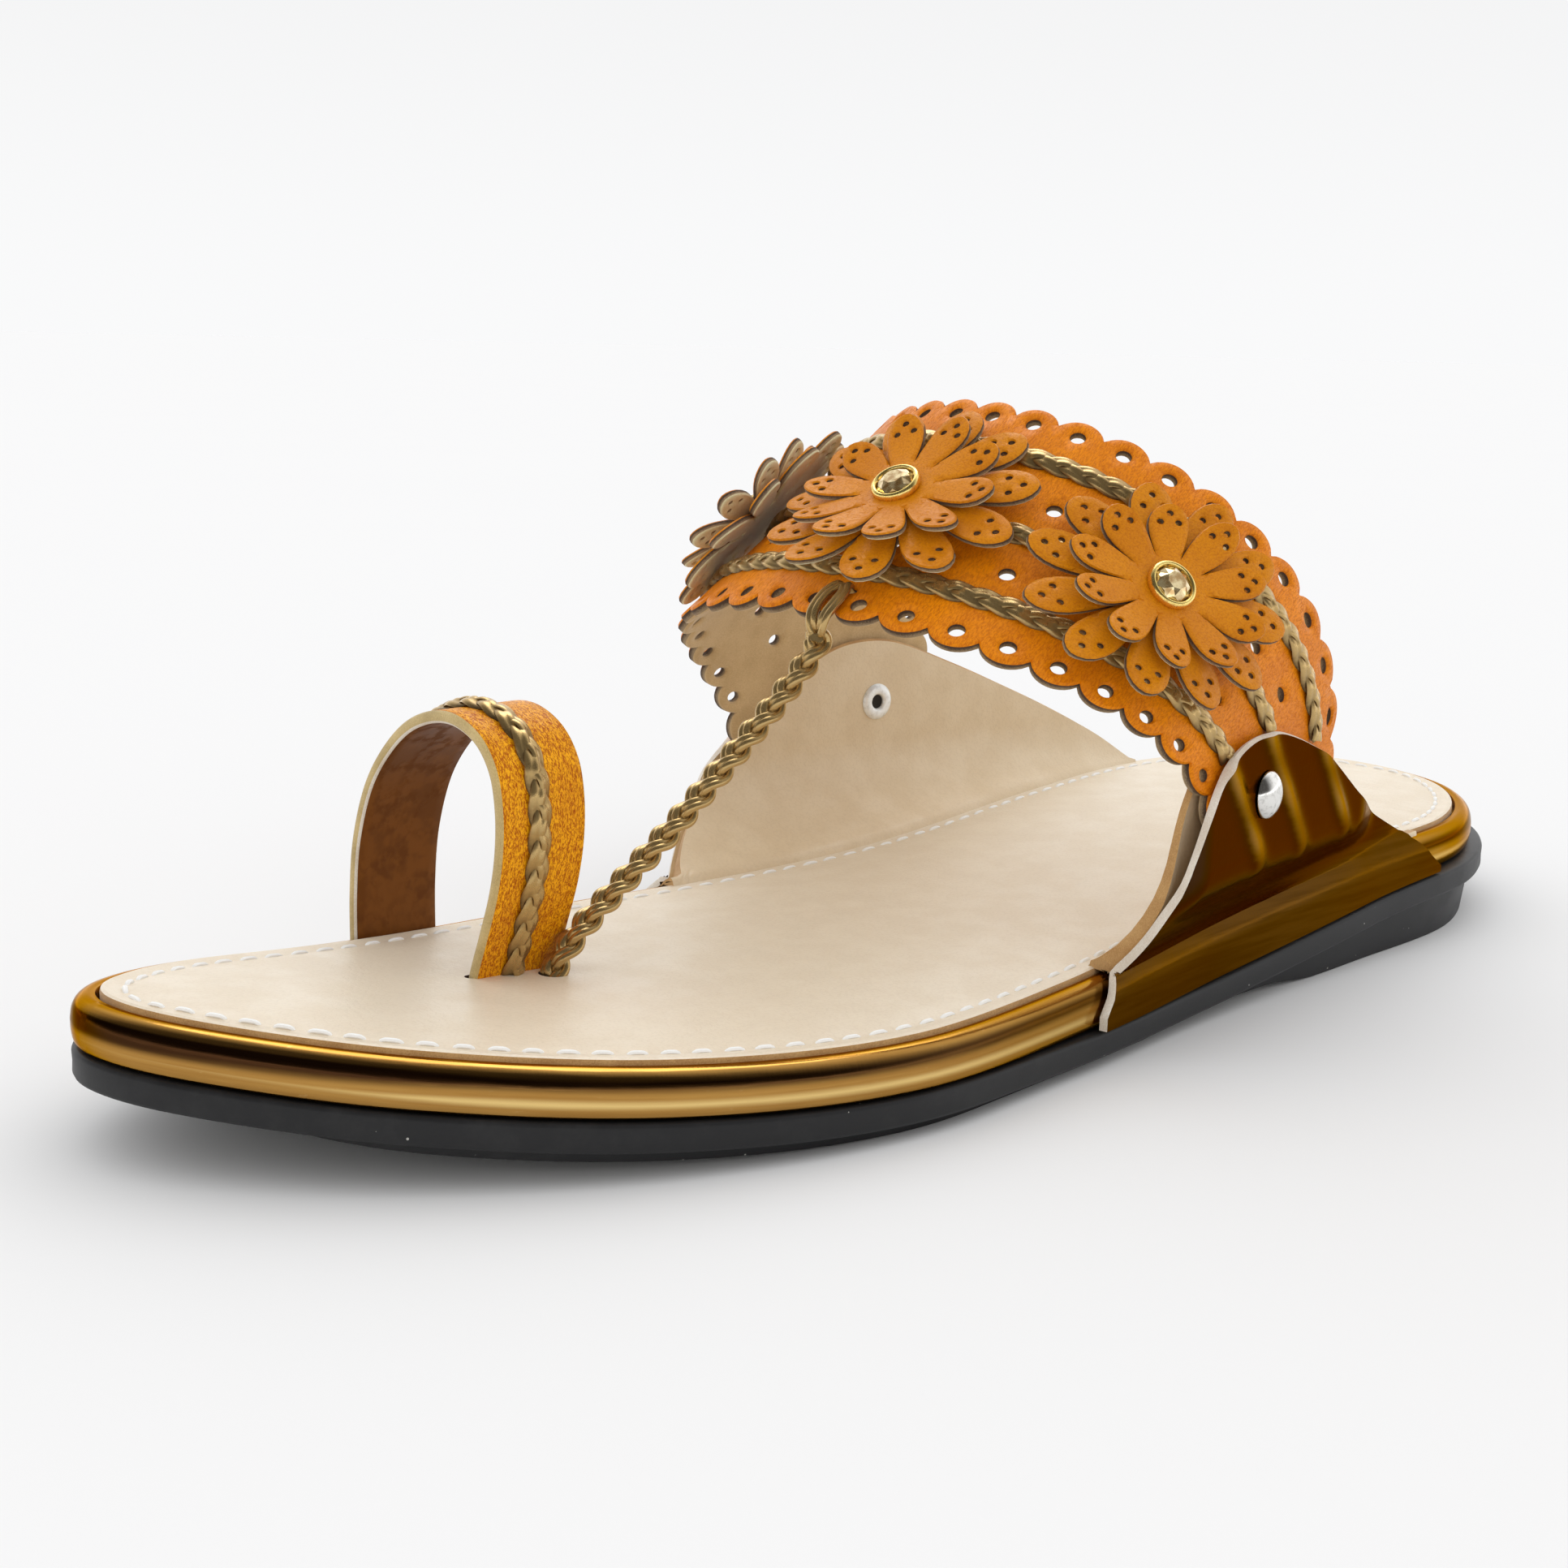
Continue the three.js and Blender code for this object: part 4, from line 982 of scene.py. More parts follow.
def make_outsole():
    reach = RIM_REACH + LEDGE["reach"] * np.clip((EDGE_S - LEDGE["start"]) / LEDGE["run"], 0, 1)
    tread = reach - tread_inset(EDGE_S)
    ground = tread_bottom(EDGE_S)
    high = rim_top(EDGE_S)
    low = high - RIM_HEIGHT
    # reach and height of each ring, from the tread up and in
    rows = [
        (tread - TREAD_TAPER - 0.5, ground),
        (tread - TREAD_TAPER - 0.12, ground + 0.12),
        (tread - TREAD_TAPER, ground + 0.45),
        (tread, mix(ground, low, 0.9)),
        (tread, low),
        (reach - 0.6, low),
        (reach - 0.18, low + 0.18),
        (reach, low + 0.6),
        (reach - 0.06, mix(low, high, 0.5)),
        (reach, high - 0.55),
        (reach - 0.15, high - 0.15),
        (reach - 0.5, high),
        (RIM_REACH - 1.2, high),
    ]
    rings = [sole_ring(*row) for row in rows]
    stack_rings("outsole_rubber", rings, 0.0, [RUBBER, TREAD], "rubber", ["outsole"], 1, 50)


def make_band():
    """Wrapped band: a smooth roll from the rim up and over to the insole."""
    profile = spline(BAND_PROFILE, 28)
    low = rim_top(EDGE_S)
    tall = band_height(EDGE_S)
    rings = [sole_ring(RIM_REACH - inset, low + part * tall) for inset, part in profile]
    part = profile[:, 1:]
    # painted reflection: dark lines where the band mirrors the dark room and the shaded floor, and a bright
    # line as a painted highlight
    painted_reflection = sum(share * bell(part - middle, width) for share, middle, width in BAND_PAINTED_REFLECTIONS)
    # more painted dark reflection toward the toe
    toe = BAND_TOE_DARK_REFLECTION["share"] * smooth((BAND_TOE_DARK_REFLECTION["run"] - EDGE_S) / BAND_TOE_DARK_REFLECTION["run"])
    toe = toe * rising(part, BAND_TOE_DARK_REFLECTION["low"], BAND_TOE_DARK_REFLECTION["rise"]) * (part < BAND_TOE_DARK_REFLECTION["high"])
    marks = np.clip(painted_reflection + toe, -1, 1)
    stack_rings("band_foil", rings, marks, [FOIL_LEATHER], "bronze_foil", ["midsole"])


def crowned_top(station, y):
    """Height of the insole, with its padding toward the middle and the groove under the stitches."""
    station = np.asarray(station, float)
    sides = np.minimum(y - sole_edge(station, -1), sole_edge(station, 1) - y)
    inward = np.minimum(sides, np.minimum(station, INSOLE_LENGTH - station)) - STITCH_INSET
    padding = INSOLE_CROWN["rise"] * smooth(inward / INSOLE_CROWN["run"])
    return insole_top(station) + padding - STITCH_GROOVE["deep"] * bell(inward, STITCH_GROOVE["width"])


def within(points, loop):
    """Which points lie inside a closed loop."""
    ax, ay = np.asarray(loop, float).T
    bx, by = np.roll(loop, -1, axis=0).T
    x = points[:, :1]
    y = points[:, 1:]
    crosses = (ay > y) != (by > y)
    height = np.where(by == ay, 1.0, by - ay)
    return (crosses & (x < ax + (y - ay) * (bx - ax) / height)).sum(axis=1) % 2 == 1


def cut_sheet(loops, fill):
    """Flat triangles inside the first loop and outside the others. Gives points, triangles, loop indices."""
    for hole in loops[1:]:
        fill = fill[~within(fill, hole)]
    points = np.vstack([*loops, fill])
    sizes = [len(loop) for loop in loops]
    spans = [range(sum(sizes[:k]), sum(sizes[:k + 1])) for k in range(len(sizes))]
    edges = [(index, span[(k + 1) % len(span)]) for span in spans for k, index in enumerate(span)]
    flat = [Vector(point) for point in points.tolist()]
    made, _, faces, sources, _, _ = delaunay_2d_cdt(flat, edges, [], 1, 1e-6)
    owner = np.repeat([*range(len(loops)), -1], [*sizes, len(fill)])
    back = np.array([source[0] if source else -1 for source in sources])
    kept = []
    for face in faces:
        source = back[list(face)]
        owners = set(owner[source]) if (source >= 0).all() else {-1}
        if len(owners) > 1 or owners.pop() < 1:
            kept.append(tuple(face))
    lookup = {int(source): index for index, source in enumerate(back)}
    return np.array([tuple(point) for point in made]), kept, [[lookup[k] for k in span] for span in spans]


def inset_loop(loop, distance):
    """The loop moved inward, or outward round a hole, which runs clockwise."""
    run = unit(np.roll(loop, -1, axis=0) - np.roll(loop, 1, axis=0))
    return loop + distance * columns(-run[:, 1], run[:, 0])


def circle(centre, radius, sides):
    """Clockwise circle, or an oval from two radii."""
    angle = -np.linspace(0, FULL_TURN, sides, endpoint=False)
    return np.asarray(centre) + np.asarray(radius) * columns(np.cos(angle), np.sin(angle))


def clear_fill(fill, loops, margin):
    """Fill points that keep away from every loop."""
    border = np.vstack(loops)
    keep = []
    for chunk in np.array_split(fill, max(1, len(fill) // 400)):
        distance = np.linalg.norm(chunk[:, None, :] - border[None, :, :], axis=2).min(axis=1)
        keep.append(chunk[distance > margin])
    return np.vstack(keep)


def leather_sheet(name, node, materials, outline, holes, fill, to_point, thick, bevel, lip):
    """Sheet of leather with rounded cut edges: materials 0 grain side, 1 flesh side, 2 cut edge."""
    loops = [outline, *holes]
    inner = [inset_loop(loop, bevel) for loop in loops]
    inside = clear_fill(fill, loops + inner, 2.2 * bevel)
    flat, triangles, loop_index = cut_sheet(loops, np.vstack([*inner, inside]))
    count = len(flat)
    half = np.full(count, thick / 2)
    half[np.concatenate(loop_index)] -= lip
    sides = [to_point(*flat.T, way * half) for way in (1, -1)]
    edges = [pair for index in loop_index for pair in zip(index, index[1:] + index[:1])]
    faces = triangles + [tuple(index + count for index in face[::-1]) for face in triangles]
    faces += [(b, a, a + count, b + count) for a, b in edges]
    slots = [0] * len(triangles) + [1] * len(triangles) + [2] * len(edges)
    guide = [columns(*flat.T, depth) for depth in (0.0, 1.0)]
    build = Build()
    build.add(np.vstack(sides), faces, slots, np.vstack(guide))
    build.piece(name, materials, "tan_leather", [node], 50)


def make_insole():
    count = len(EDGE_S)
    top = insole_top(EDGE_S)
    # inset and drop of the rings, up to the rounded rim
    rings = ((0.0, INSOLE_THICK), (0.0, 0.5), (0.12, 0.15), (0.5, 0.0))
    rings = [sole_ring(-inset, top - drop) for inset, drop in rings]
    rim = edge_line(-INSOLE_RIM)
    half = (LOOP_BACK - LOOP_FRONT) / 2 - LOOP_SLOT["short"]
    angle = np.linspace(-math.pi / 2, math.pi / 2, 9)
    bow = columns(half + LOOP_SLOT["half"] * np.cos(angle), LOOP_SLOT["half"] * np.sin(angle))
    slot = np.vstack([bow, -bow])[::-1] + ((LOOP_FRONT + LOOP_BACK) / 2, LOOP_SLOT["y"])
    eye_middle = (CORD_FOOT[0] + CORD_EYE["ahead"], CORD_FOOT[1])
    eye = circle(eye_middle, CORD_RADIUS + CORD_EYE["room"], OVAL_SIDES)
    step = INSOLE_FILL["step"]
    room = INSOLE_FILL["room"]
    fill = pairs(np.arange(2, INSOLE_LENGTH, step), np.arange(*INSOLE_FILL["sides"], step))
    station, y = fill.T
    fill = fill[(y > sole_edge(station, -1) + room) & (y < sole_edge(station, 1) - room)]
    rows = [edge_line(-inset) for inset in INSOLE_ROWS]
    fill = clear_fill(np.vstack([*rows, clear_fill(fill, rows, 1.2)]), [rim, slot, eye], 0.7)
    flat, triangles, loop_index = cut_sheet([rim, slot, eye], fill)
    surface = place(*flat.T, crowned_top(*flat.T))
    bottom = cap_faces(0, count, True)
    slots = [1] * count * 2 + [0] * count + [1] * len(bottom)
    build = Build()
    build.add(np.vstack(rings), ring_faces(len(rings), count) + bottom, slots)
    build.add(surface, triangles)
    build.add(np.vstack([rings[-1], surface[loop_index[0]]]), ring_faces(2, count))
    for index in loop_index[1:]:
        # each hole gets walls and a near-black floor of painted shade
        deep = surface[index] - (0, 0, INSOLE_THICK)
        build.add(np.vstack([surface[index], deep]), ring_faces(2, len(index), True), 2)
        build.add(deep, [range(len(index))], 3)
    leathers = [INSOLE_LEATHER, INSOLE_EDGE, RAW_EDGE, HOLE_SHADE]
    build.piece("insole_leather", leathers, "beige_leather", ["insole"])


def make_stitches():
    """Row of white stitches round the insole, each a short thread that dips at its ends."""
    path = edge_line(-STITCH_INSET)
    path = np.vstack([path, path[:1]])
    length = run_length(path)
    count = int(length[-1] / STITCH_PITCH)
    part = np.linspace(-1, 1, 9)
    dip = part**4
    angle = np.linspace(0, FULL_TURN, 7, endpoint=False)
    section = columns(np.cos(angle), STITCH_FLAT * np.sin(angle))
    upward = np.tile((0.0, 0.0, 1.0), (len(part), 1))
    aside, longer = STITCH_STRAY
    chance = random.Random(STITCH_SEED)
    build = Build()
    for k in range(count):
        start = length[-1] * k / count + chance.uniform(-aside, aside)
        want = start + part / 2 * (STITCH_LENGTH + chance.uniform(-longer, longer))
        x, y = (np.interp(want % length[-1], length, values) for values in path.T)
        z = crowned_top(x, y) + STITCH_LIFT - STITCH_DIP * dip
        build.add(*strand(place(x, y, z), upward, section, STITCH_RADIUS * (1 - 0.25 * dip)))
    build.piece("insole_stitches", [THREAD], "beige_leather")


# Strap pieces

def strap_edge(edge):
    """One scalloped edge of the strap, as rows of u and depth below the lobes' tips."""
    first = -STRAP_ENDS[edge]
    last = STRAP_LENGTH + STRAP_ENDS[edge]
    parts = np.linspace(0, 1, LOBE_STEPS, endpoint=False)
    u = pairs(np.arange(-3, LOBES + 4) + LOBE_PHASE[edge], parts).sum(axis=1) * LOBE_PITCH
    u = np.array([first, *u[(u > first + 0.4) & (u < last - 0.4)], last])
    x = (np.mod(u / LOBE_PITCH - LOBE_PHASE[edge], 1.0) - 0.5) * LOBE_PITCH
    radius = (LOBE_PITCH**2 / 4 + LOBE_DEPTH**2) / (2 * LOBE_DEPTH)
    return columns(u, radius - np.sqrt(radius**2 - x**2))


def strap_holes():
    """Centres of the punched holes that show."""
    holes = []
    for lobe in range(-1, LOBES + 1):
        for edge, across in EDGE_HOLE_ACROSS.items():
            holes.append(((lobe + 0.5 + LOBE_PHASE[edge]) * LOBE_PITCH, across * STRAP_WIDTH))
    count = int(STRAP_LENGTH / INNER_HOLE_PITCH)
    for k in range(count):
        for across in INNER_HOLE_ACROSS:
            holes.append(((k + INNER_HOLE_PHASE) / count * STRAP_LENGTH, across * STRAP_WIDTH))
    return [hole for hole in holes if above_wings(on_strap(*hole, 0.0), HOLE_MARGIN)]


def make_strap():
    rear = strap_edge("rear")[::-1] * (1, -1) + (0, STRAP_WIDTH)
    outline = np.vstack([strap_edge("front"), rear])
    holes = [circle(centre, HOLE_RADIUS, HOLE_SIDES) for centre in strap_holes()]
    holes.append(circle((CORD_U, CORD_SLIT), CORD_SLIT_HALF, OVAL_SIDES))
    first, step = STRAP_FILL_ALONG
    fill = pairs(np.arange(first, STRAP_LENGTH, step), np.arange(*STRAP_FILL_ACROSS))
    lines = (outline, holes, fill)
    leathers = [STRAP_LEATHER, STRAP_UNDER, RAW_EDGE]
    leather_sheet("strap_leather", "strap", leathers, *lines, on_strap, STRAP_THICK, *STRAP_BEVEL)


def plait(build, path, side, up, width, half_width, half_thick, rise, period, round_cord=False):
    """Three flat strands plaited along a path, which is the middle of the plait."""
    run = run_length(path)
    count = len(STRAND)
    back = np.tile(STRAND[:, 1], len(path))
    for number in range(3):
        phase = FULL_TURN * (run / period + number / 3)
        across = (width / 2 - half_width) * np.sin(phase)
        high = rise * np.sin(2 * phase)
        centre = path + side * across[:, None] + up * high[:, None]
        lean = up + side * (STRAND_LEAN * np.sin(phase))[:, None]
        # painted light and shade: strands darker where they dip under the others and on their undersides
        middle, over, round_back = FLAT_PAINTED_LIGHT
        crest = middle + over * np.repeat(high / (rise + half_thick), count) + round_back * back
        # the round cord's painted light is even along it, lighter on top of each strand
        if round_cord:
            crest = ROUND_PAINTED_LIGHT[0] + ROUND_PAINTED_LIGHT[1] * back
        guide = columns(np.repeat(run, count), np.repeat(across, count), crest)
        build.add(*strand(centre, lean, STRAND * (half_width, half_thick)), 0, guide)


def plait_piece(name, node, thick, path, side, up):
    """Flat braid on leather of a thickness, whose middle is the path."""
    build = Build()
    plait(build, path + up * (thick / 2 + BRAID_LIFT), side, up, *FLAT_PLAIT)
    build.piece(name, [BRAID_METAL], "bronze_braid", [node], 60)


def make_strap_braid(name, across):
    v = across * STRAP_WIDTH
    u = np.linspace(0, STRAP_LENGTH, 1200)
    point, _, side, _ = strap_frame(u, v)
    shows = [above_wings(point + side * way * BRAID_WIDTH, -0.4) for way in (-0.5, 0.5)]
    u = u[np.logical_and(*shows)]
    point, _, side, up = strap_frame(np.linspace(u[0], u[-1], 300), v)
    plait_piece(name + "_plait", name, STRAP_THICK, point, side, up)


# Flowers

def petal_spot(petals, petal, spread, radius):
    """Flat place at a radius, off a petal's middle by a part of half the pitch."""
    angle = (petal + petals["turn"] + spread * 0.5) * (FULL_TURN / petals["count"])
    return radius * math.cos(angle), radius * math.sin(angle)


def petal_lines(petals):
    """Outline, pinholes and fill points of a ring of petals."""
    notch = petals["notch"]
    tip = petals["tip"]
    shape = [(reach, -spread) for reach, spread in PETAL_HALF] + [(1.0, 0.0)] + PETAL_HALF[:0:-1]
    outline = []
    holes = []
    fill = []
    for petal in range(petals["count"]):
        outline += [petal_spot(petals, petal, spread, mix(notch, tip, reach)) for reach, spread in shape]
        centres = [petal_spot(petals, petal, spread, part * tip) for part, spread in PIN_HOLES]
        holes += [circle(centre, PIN_RADIUS, PIN_SIDES) for centre in centres]
        for radius in np.linspace(1.0, tip * 0.96, 14):
            reach = (radius - notch) / (tip - notch)
            spreads = (-0.3, 0.0, 0.3) if reach > 0.8 else (-0.6, -0.3, 0.0, 0.3, 0.6)
            fill += [petal_spot(petals, petal, spread, radius) for spread in spreads]
    return np.array(outline), holes, np.array(fill)


def make_petals(name, stand, petals, here, lift, seed):
    point, run, side, up = here
    count = petals["count"]
    notch = petals["notch"]
    tip = petals["tip"]
    chance = random.Random(seed)
    raised = np.array([chance.uniform(*petals["span"]) for _ in range(count)])
    twisted = np.array([chance.uniform(-petals["twist"], petals["twist"]) for _ in range(count)])

    def to_point(p, q, half):
        turn = np.arctan2(q, p) / (FULL_TURN / count) - petals["turn"]
        number = np.round(turn).astype(int) % count
        offset = 2 * (turn - np.round(turn))
        out = np.clip((np.hypot(p, q) - notch) / (tip - notch), 0, 1.1)
        bend = raised[number] * out**1.6 + out * offset * (twisted[number] - petals["cup"] * offset)
        along = stand[0] * np.clip(p / tip, 0, 1) ** STAND_POWER
        ahead = stand[1] * np.clip(-q / tip, 0, 1) ** STAND_POWER
        rise = lift + bend + along + ahead - 0.5 * FLOWER_CURL * p * p + half
        return point + p[:, None] * run + q[:, None] * side + rise[:, None] * up

    leathers = [PETAL_LEATHER, PETAL_UNDER, RAW_EDGE]
    lines = petal_lines(petals)
    leather_sheet(name + "_petals", name, leathers, *lines, to_point, PETAL_THICK, *PETAL_BEVEL)


def make_crystal_stone(name, origin, axis):
    """Cut stone: a flat table, star and main facets down to the girdle."""
    count = 8
    # part of the radius, height, turn by a part of a facet
    rows = ((1.0, 0.0, 0), (1.0, 0.55, 0), (0.80, 1.25, 0.5), (0.50, 1.75, 0))
    rings = [axis_ring(origin, axis, CRYSTAL_RADIUS * part, height, count, shift)
             for part, height, shift in rows]
    faces = []
    for k in range(count):
        k1 = (k + 1) % count
        a, b = count + k, count + k1
        m, m0 = 2 * count + k, 2 * count + (k - 1) % count
        t, t1 = 3 * count + k, 3 * count + k1
        faces += [(k, k1, b, a), (a, b, m), (a, m, t), (a, t, m0), (m, t1, t)]
    faces += [range(3 * count, 4 * count), range(count)[::-1]]
    build = Build()
    build.add(np.vstack(rings), faces)
    build.piece(name + "_stone", [CRYSTAL], "crystal", [name], 3)


def make_flower(flower, along, across):
    here = [vector[0] for vector in strap_frame([along * STRAP_LENGTH], [across * STRAP_WIDTH])]
    point, _, _, up = here
    name = f"flower_{flower}"
    stand = FLOWER_STAND[flower]
    seed = sum(map(ord, flower))
    lower = STRAP_THICK / 2 + BRAID_THICK + 2 * CLEAR + PETAL_THICK / 2
    upper = lower + PETAL_THICK + CLEAR
    make_petals(name + "_lower", stand, LOWER_PETALS, here, lower, seed)
    make_petals(name + "_upper", stand, UPPER_PETALS, here, upper, seed + 1)
    top = point + up * (upper + PETAL_THICK / 2 + BEZEL_ROOM)
    ring = [(spline(BEZEL, 24), 48)]
    turned_piece(name + "_bezel_ring", top, up, ring, [GOLD], "gold_metal", name + "_bezel")
    make_crystal_stone(name + "_crystal", top + up * CRYSTAL_LIFT, up)
    under = point - up * (STRAP_THICK / 2 + POST_ROOM)
    turned_piece(name + "_post_head", under, -up, [(POST, 32)], [GOLD], "gold_metal", name + "_post")


# Wings

def wing_grid(wing, inset, face, foot, lift, least, steps, rows):
    """Stations, heights and points over a wing's face, from a lift over its foot to its top edge."""
    station = np.linspace(wing["top"][0][0] + inset, wing["top"][-1][0] - inset, steps)[:, None]
    low = foot(station) + lift
    high = np.maximum(low + least, wing_top(wing, station))
    # the lower rows follow the bend over the insole's edge
    bend = np.minimum(insole_top(station) + WING_BEND["top"], mix(low, high, WING_BEND["most"]))
    below = np.linspace(0, 1, rows * 2 // 5, endpoint=False)
    above = np.linspace(0, 1, rows - len(below))
    z = np.concatenate([mix(low, bend, below), mix(bend, high, above)], axis=1)
    stations = np.broadcast_to(station, z.shape)
    return stations, z, place(stations, wing["side"] * face(wing, stations, z), z)


def grid_normals(grid, side):
    normal = unit(np.cross(np.gradient(grid, axis=0), np.gradient(grid, axis=1)))
    return normal * np.where(normal[..., 1:2] * side < 0, -1.0, 1.0)


def wall_piece(name, inner, outer, side, materials, slot, node, mark=None):
    """Wall between two grids: materials 0 outer face, 1 inner face, 2 cut edge. The top edge is rounded."""
    steps, rows, _ = inner.shape
    crest = (inner[:, -1] + outer[:, -1]) / 2 + (0, 0, 0.3)
    ring = np.concatenate([inner, crest[:, None, :], outer[:, ::-1]], axis=1)
    count = ring.shape[1]
    faces = ring_faces(steps, count, True)
    kinds = [1] * (rows - 1) + [2, 2] + [0] * (rows - 1) + [2]
    for base, flip in ((0, False), ((steps - 1) * count, True)):
        end = [(base + j, base + j + 1, base + count - 2 - j, base + count - 1 - j) for j in range(rows - 1)]
        end.append((base + rows - 1, base + rows, base + rows + 1))
        faces += [face[::-1] for face in end] if flip else end
    if side < 0:
        faces = [face[::-1] for face in faces]
    marks = np.zeros(ring.shape[:2])
    if mark is not None:
        marks[:, rows + 1:] = mark[:, ::-1]
    guide = columns(run_length(ring[:, 0])[:, None], ring[..., 2], marks)
    build = Build()
    build.add(ring, faces, kinds * (steps - 1) + [2] * (2 * rows), guide)
    build.piece(name, materials, slot, [node], 45)


def braid_ridges(wing, station, z):
    """Height that the braids under the skin raise it by."""
    rise = np.zeros_like(z)
    fade = RIDGE["height"] * rising(z, RIDGE["low"], RIDGE["fade"])
    for _, across in STRAP_BRAIDS:
        top_station = mix(*wing["end"], across)
        top_z = mix(FRONT_ARCH["base"], REAR_ARCH["base"], across)
        away = (station - top_station - RIDGE["lean"] * (top_z - z)) / math.hypot(1, RIDGE["lean"])
        wave = np.cos(FULL_TURN * z / RIDGE_BEAT["length"] + RIDGE_BEAT["shift"] * across)
        beat = RIDGE_BEAT["least"] + RIDGE_BEAT["swing"] * wave
        rise = np.maximum(rise, fade * beat * bell(away, RIDGE["half"]))
    return rise


def make_wing(wing):
    name = wing["name"]
    side = wing["side"]
    stations, z, inner = wing_grid(wing, 0.0, skin_face, rim_top, WING_HUG["room"], *SKIN_GRID)
    ridges = braid_ridges(wing, stations, z)
    outer = inner + grid_normals(inner, side) * (SKIN_THICK + ridges)[..., None]
    # painted dark reflection, weaker low down where the skin hugs the band
    painted_reflection = mix(SKIN_PAINTED_REFLECTION["low"], 1.0, rising(z, insole_top(stations), SKIN_PAINTED_REFLECTION["run"]))
    # painted highlight: the braid ridges are kept lighter
    painted_reflection = painted_reflection * (1 - SKIN_PAINTED_REFLECTION["ridge_highlight"] * ridges / RIDGE["height"])
    skins = [FOIL_LEATHER, STRAP_UNDER, CUT_EDGE]
    wall_piece(name + "_skin", inner, outer, side, skins, "bronze_foil", name, painted_reflection)
    stations, z, back = wing_grid(wing, LINING_INSET, lining_face, insole_top, -CLEAR, *LINING_GRID)
    normal = grid_normals(back, side)
    front = back - normal * LINING_THICK
    # the foot of the lining runs out onto the insole
    edge = stations[:, 0]
    foot = place(edge, sole_edge(edge, side) - side * LINING_ONTO_INSOLE, insole_top(edge) - 0.15)
    pull = np.exp(-(z - z[:, :1]) / LINING_SPREAD)
    front = front + (foot - front[:, 0])[:, None, :] * pull[..., None]
    back = back + normal * (LINING_FILL * (1 - pocket(stations, z)))[..., None]
    linings = [LINING_LEATHER, LINING_LEATHER, INSOLE_EDGE]
    wall_piece(name + "_lining_leather", front, back, side, linings, "beige_leather", name + "_lining")
    station, height = wing["rivet"]
    out = unit(np.array((-wing["plane"]["slope"] * side, side, 0.0)))
    on_skin = place(station, side * skin_face(wing, station, height), height)
    on_skin += out * (SKIN_THICK + RIVET_ROOM["skin"])
    cap = [(spline(RIVET, 26), 48)]
    turned_piece(name + "_rivet_dome", on_skin, out, cap, [SILVER], "silver_metal", name + "_rivet_cap")
    on_lining = place(station, side * lining_face(wing, station, height), height)
    on_lining -= out * (LINING_THICK + RIVET_ROOM["lining"])
    ring = [(spline(EYELET, 28), 48), (EYELET_HOLE, 32)]
    # the eyelet's hole is closed by painted shade
    metals = [EYELET_SILVER, HOLE_SHADE]
    turned_piece(name + "_eyelet_ring", on_lining, -out, ring, metals, "silver_metal", name + "_eyelet")


# Toe loop and cord

def loop_frames(steps, station, ends=(0.0, 1.0)):
    """Path, side and up along the toe loop at a station."""
    path = spline([place(0, y, z) for y, z in LOOP_PATH], 400)
    first, last = (int(round(part * 400)) for part in ends)
    path = resample(path[first:last + 1], steps)
    run = unit(np.gradient(path, axis=0))
    skew = LOOP_SKEW * smooth((path[:, 1] - SIDE_SHIFT) / LOOP_PATH[0][0])
    path[:, 0] = station - MID_STATION + skew
    side = np.tile((1.0, 0.0, 0.0), (len(path), 1))
    up = unit(np.cross(run, side))
    middle = place(station, *LOOP_MIDDLE)
    return path, side, up * np.sign(np.sum(up * (path - middle), axis=1, keepdims=True))


def make_toe_loop():
    path, side, up = loop_frames(150, LOOP_FRONT)
    width = LOOP_BACK - LOOP_FRONT
    half = LOOP_THICK / 2
    flat = np.linspace(LOOP_BEVEL, width - LOOP_BEVEL, 10)
    fall = np.array((half - LOOP_BEVEL, 0.0, LOOP_BEVEL - half))
    rows = ((flat, half), (width, fall), (flat[::-1], -half), (0.0, -fall))
    section = np.vstack([columns(across, lift) for across, lift in rows])
    # materials round the section: 0 grain side, 1 inside, 2 edge, 3 pale bevel
    kinds = [0] * 9 + [2, 2, 2, 3] + [1] * 9 + [3, 2, 2, 2]
    guide = columns(run_length(path)[:, None], *section.T)
    build = Build()
    build.add(*sweep(path, side, up, section), kinds * (len(path) - 1) + [2, 2], guide)
    leathers = [LOOP_LEATHER, LOOP_INSIDE, LOOP_EDGE, CUT_EDGE]
    build.piece("toe_loop_leather", leathers, "tan_leather", ["toe_loop"], 50)
    frames = loop_frames(260, LOOP_BRAID_STATION, LOOP_BRAID_ENDS)
    plait_piece("toe_loop_plait", "toe_loop_braid", LOOP_THICK, *frames)


def make_cord():
    edge, edge_run, edge_side, edge_up = (vector[0] for vector in strap_frame([CORD_U], [0.0]))

    def around(across, lift):
        return edge + edge_side * across + edge_up * lift

    foot = place(*CORD_FOOT)
    hook = [around(*step) for step in CORD_HOOK]
    rise = [foot + step for step in CORD_RISE]
    path = spline([foot - (0, 0, 1.0), *rise, mix(foot, hook[0], 0.5), hook[0], mix(*hook, 0.4)], 240)
    run = unit(np.gradient(path, axis=0))
    side = square(edge_run, run)
    build = Build()
    plait(build, path, side, np.cross(side, run), *ROUND_PLAIT, True)
    for way in (-1, 1):
        line = spline([around(across, lift) + edge_run * way * gap for across, lift, gap in CORD_BIGHT], 60)
        # painted light of the bight: lighter on top of each strand
        crest = np.tile(BIGHT_PAINTED_LIGHT[0] + BIGHT_PAINTED_LIGHT[1] * STRAND[:, 1], len(line))
        build.add(*strand(line, edge_up, STRAND * BIGHT_STRAND), 0, columns(0.0, 0.0, crest))
    build.piece("t_cord_plait", [BRAID_METAL], "bronze_braid", ["t_cord"], 60)


# Stage

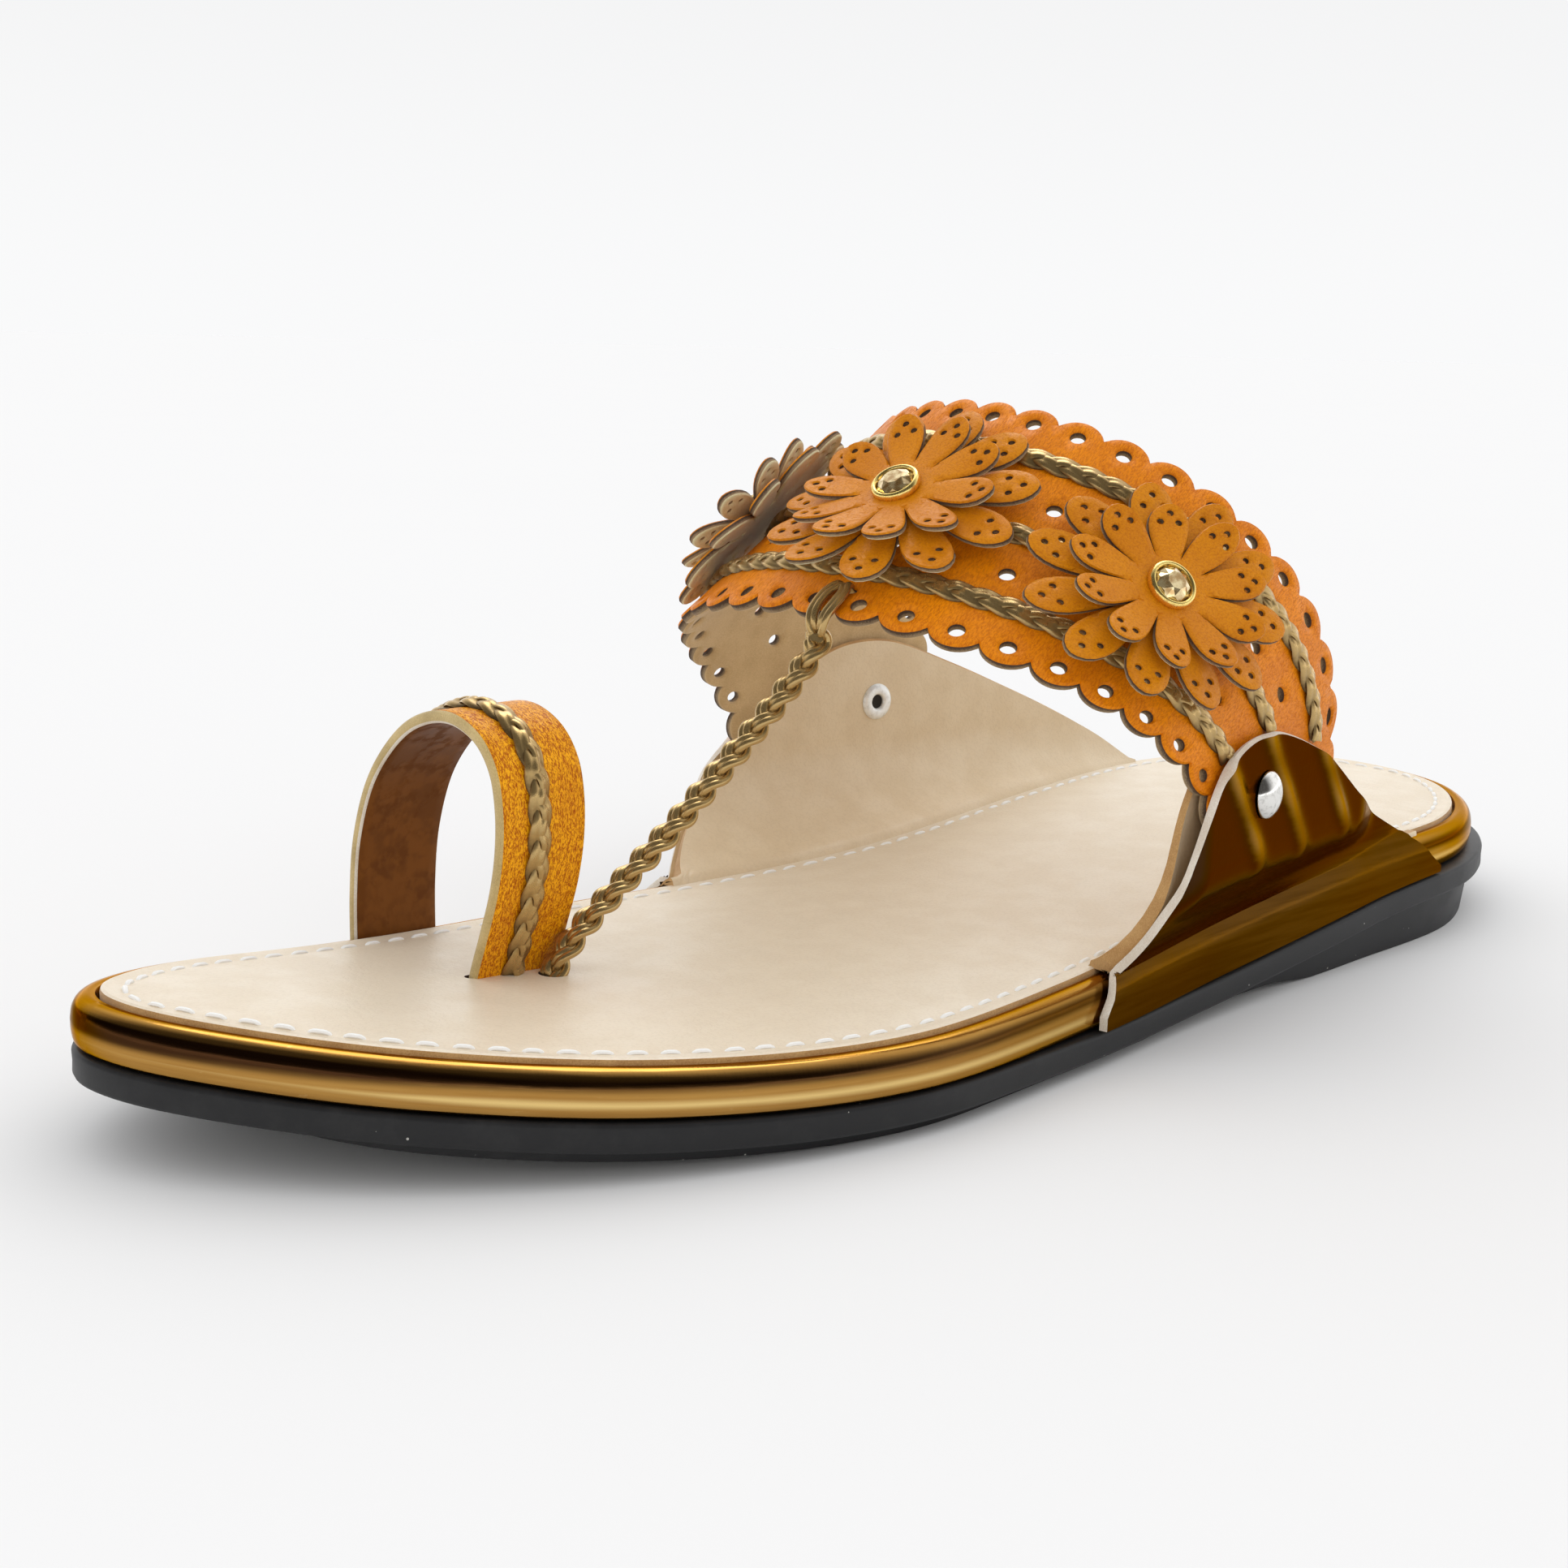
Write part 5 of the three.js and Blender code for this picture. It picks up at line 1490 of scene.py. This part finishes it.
def make_floor():
    mesh = bpy.data.meshes.new("floor")
    corners = [(x * FLOOR_HALF, y * FLOOR_HALF, 0) for x, y in ((-1, -1), (1, -1), (1, 1), (-1, 1))]
    mesh.from_pydata(corners, [], [(0, 1, 2, 3)])
    mesh.materials.append(PALE_FLOOR)
    floor = bpy.data.objects.new("floor", mesh)
    bpy.context.scene.collection.objects.link(floor)


def make_world():
    """Pale background; the light comes from above and behind, and the room on the camera's side is dark."""
    world = bpy.data.worlds.new("studio")
    bpy.context.scene.world = world
    world.use_nodes = True
    look = Look(world.node_tree)
    sight = look.add("TexCoord")["Generated"]
    height = look.third(sight)
    behind, mirrored, lamp = (
        look.vector("DOT_PRODUCT", {0: sight, 1: way})["Value"] for way in (ROOM_BACK, MIRROR_BACK, LAMP_WAY)
    )
    room = look.blend(look.ramp(behind, *ROOM_EDGE), ROOM_FILL, ROOM_PALE)
    room = look.blend(look.ramp(height, *OVERHEAD_EDGE), room, OVERHEAD_LIGHT)
    mirror = look.blend(look.ramp(mirrored, *MIRROR_EDGE), MIRROR_DARK, MIRROR_PALE)
    mirror = look.blend(look.ramp(height, *HORIZON_EDGE), mirror, MIRROR_HORIZON)
    mirror = look.blend(look.ramp(lamp, *LAMP_EDGE), mirror, MIRROR_LAMP)
    wall = look.blend(look.ramp(height, *BACKDROP_EDGE), BACKDROP_LOW, BACKDROP_HIGH)
    ray = look.add("LightPath")
    seen = look.blend(ray["Is Glossy Ray"], room, mirror)
    colour = look.blend(ray["Is Camera Ray"], seen, wall)
    look.fill(look.tree.nodes["Background"], {"Color": colour, "Strength": 1.0})


def make_camera():
    turn = math.radians(CAMERA_TURN)
    dip = math.radians(CAMERA_DIP)
    ahead = Vector((math.sin(turn) * math.cos(dip), math.cos(turn) * math.cos(dip), -math.sin(dip)))
    right = Vector((math.cos(turn), -math.sin(turn), 0))
    basis = Matrix((right, right.cross(ahead), -ahead)).transposed().to_4x4()
    lens = bpy.data.cameras.new("camera")
    lens.sensor_fit = "HORIZONTAL"
    lens.angle = math.radians(CAMERA_ANGLE)
    lens.clip_start = CAMERA_NEAR * MM
    camera = bpy.data.objects.new("camera", lens)
    roll = Matrix.Rotation(math.radians(CAMERA_ROLL), 4, "Z")
    camera.matrix_world = Matrix.Translation(Vector(CAMERA_PLACE) * MM) @ basis @ roll
    bpy.context.scene.collection.objects.link(camera)
    bpy.context.scene.camera = camera


def make_sandal():
    make_outsole()
    make_band()
    make_insole()
    make_stitches()
    make_strap()
    for name, across in STRAP_BRAIDS:
        make_strap_braid(name, across)
    for flower, along, across in FLOWERS:
        make_flower(flower, along, across)
    for wing in WINGS:
        make_wing(wing)
    make_toe_loop()
    make_cord()


make_camera()
make_floor()
make_world()
bpy.context.scene.view_settings.view_transform = "Standard"
make_sandal()
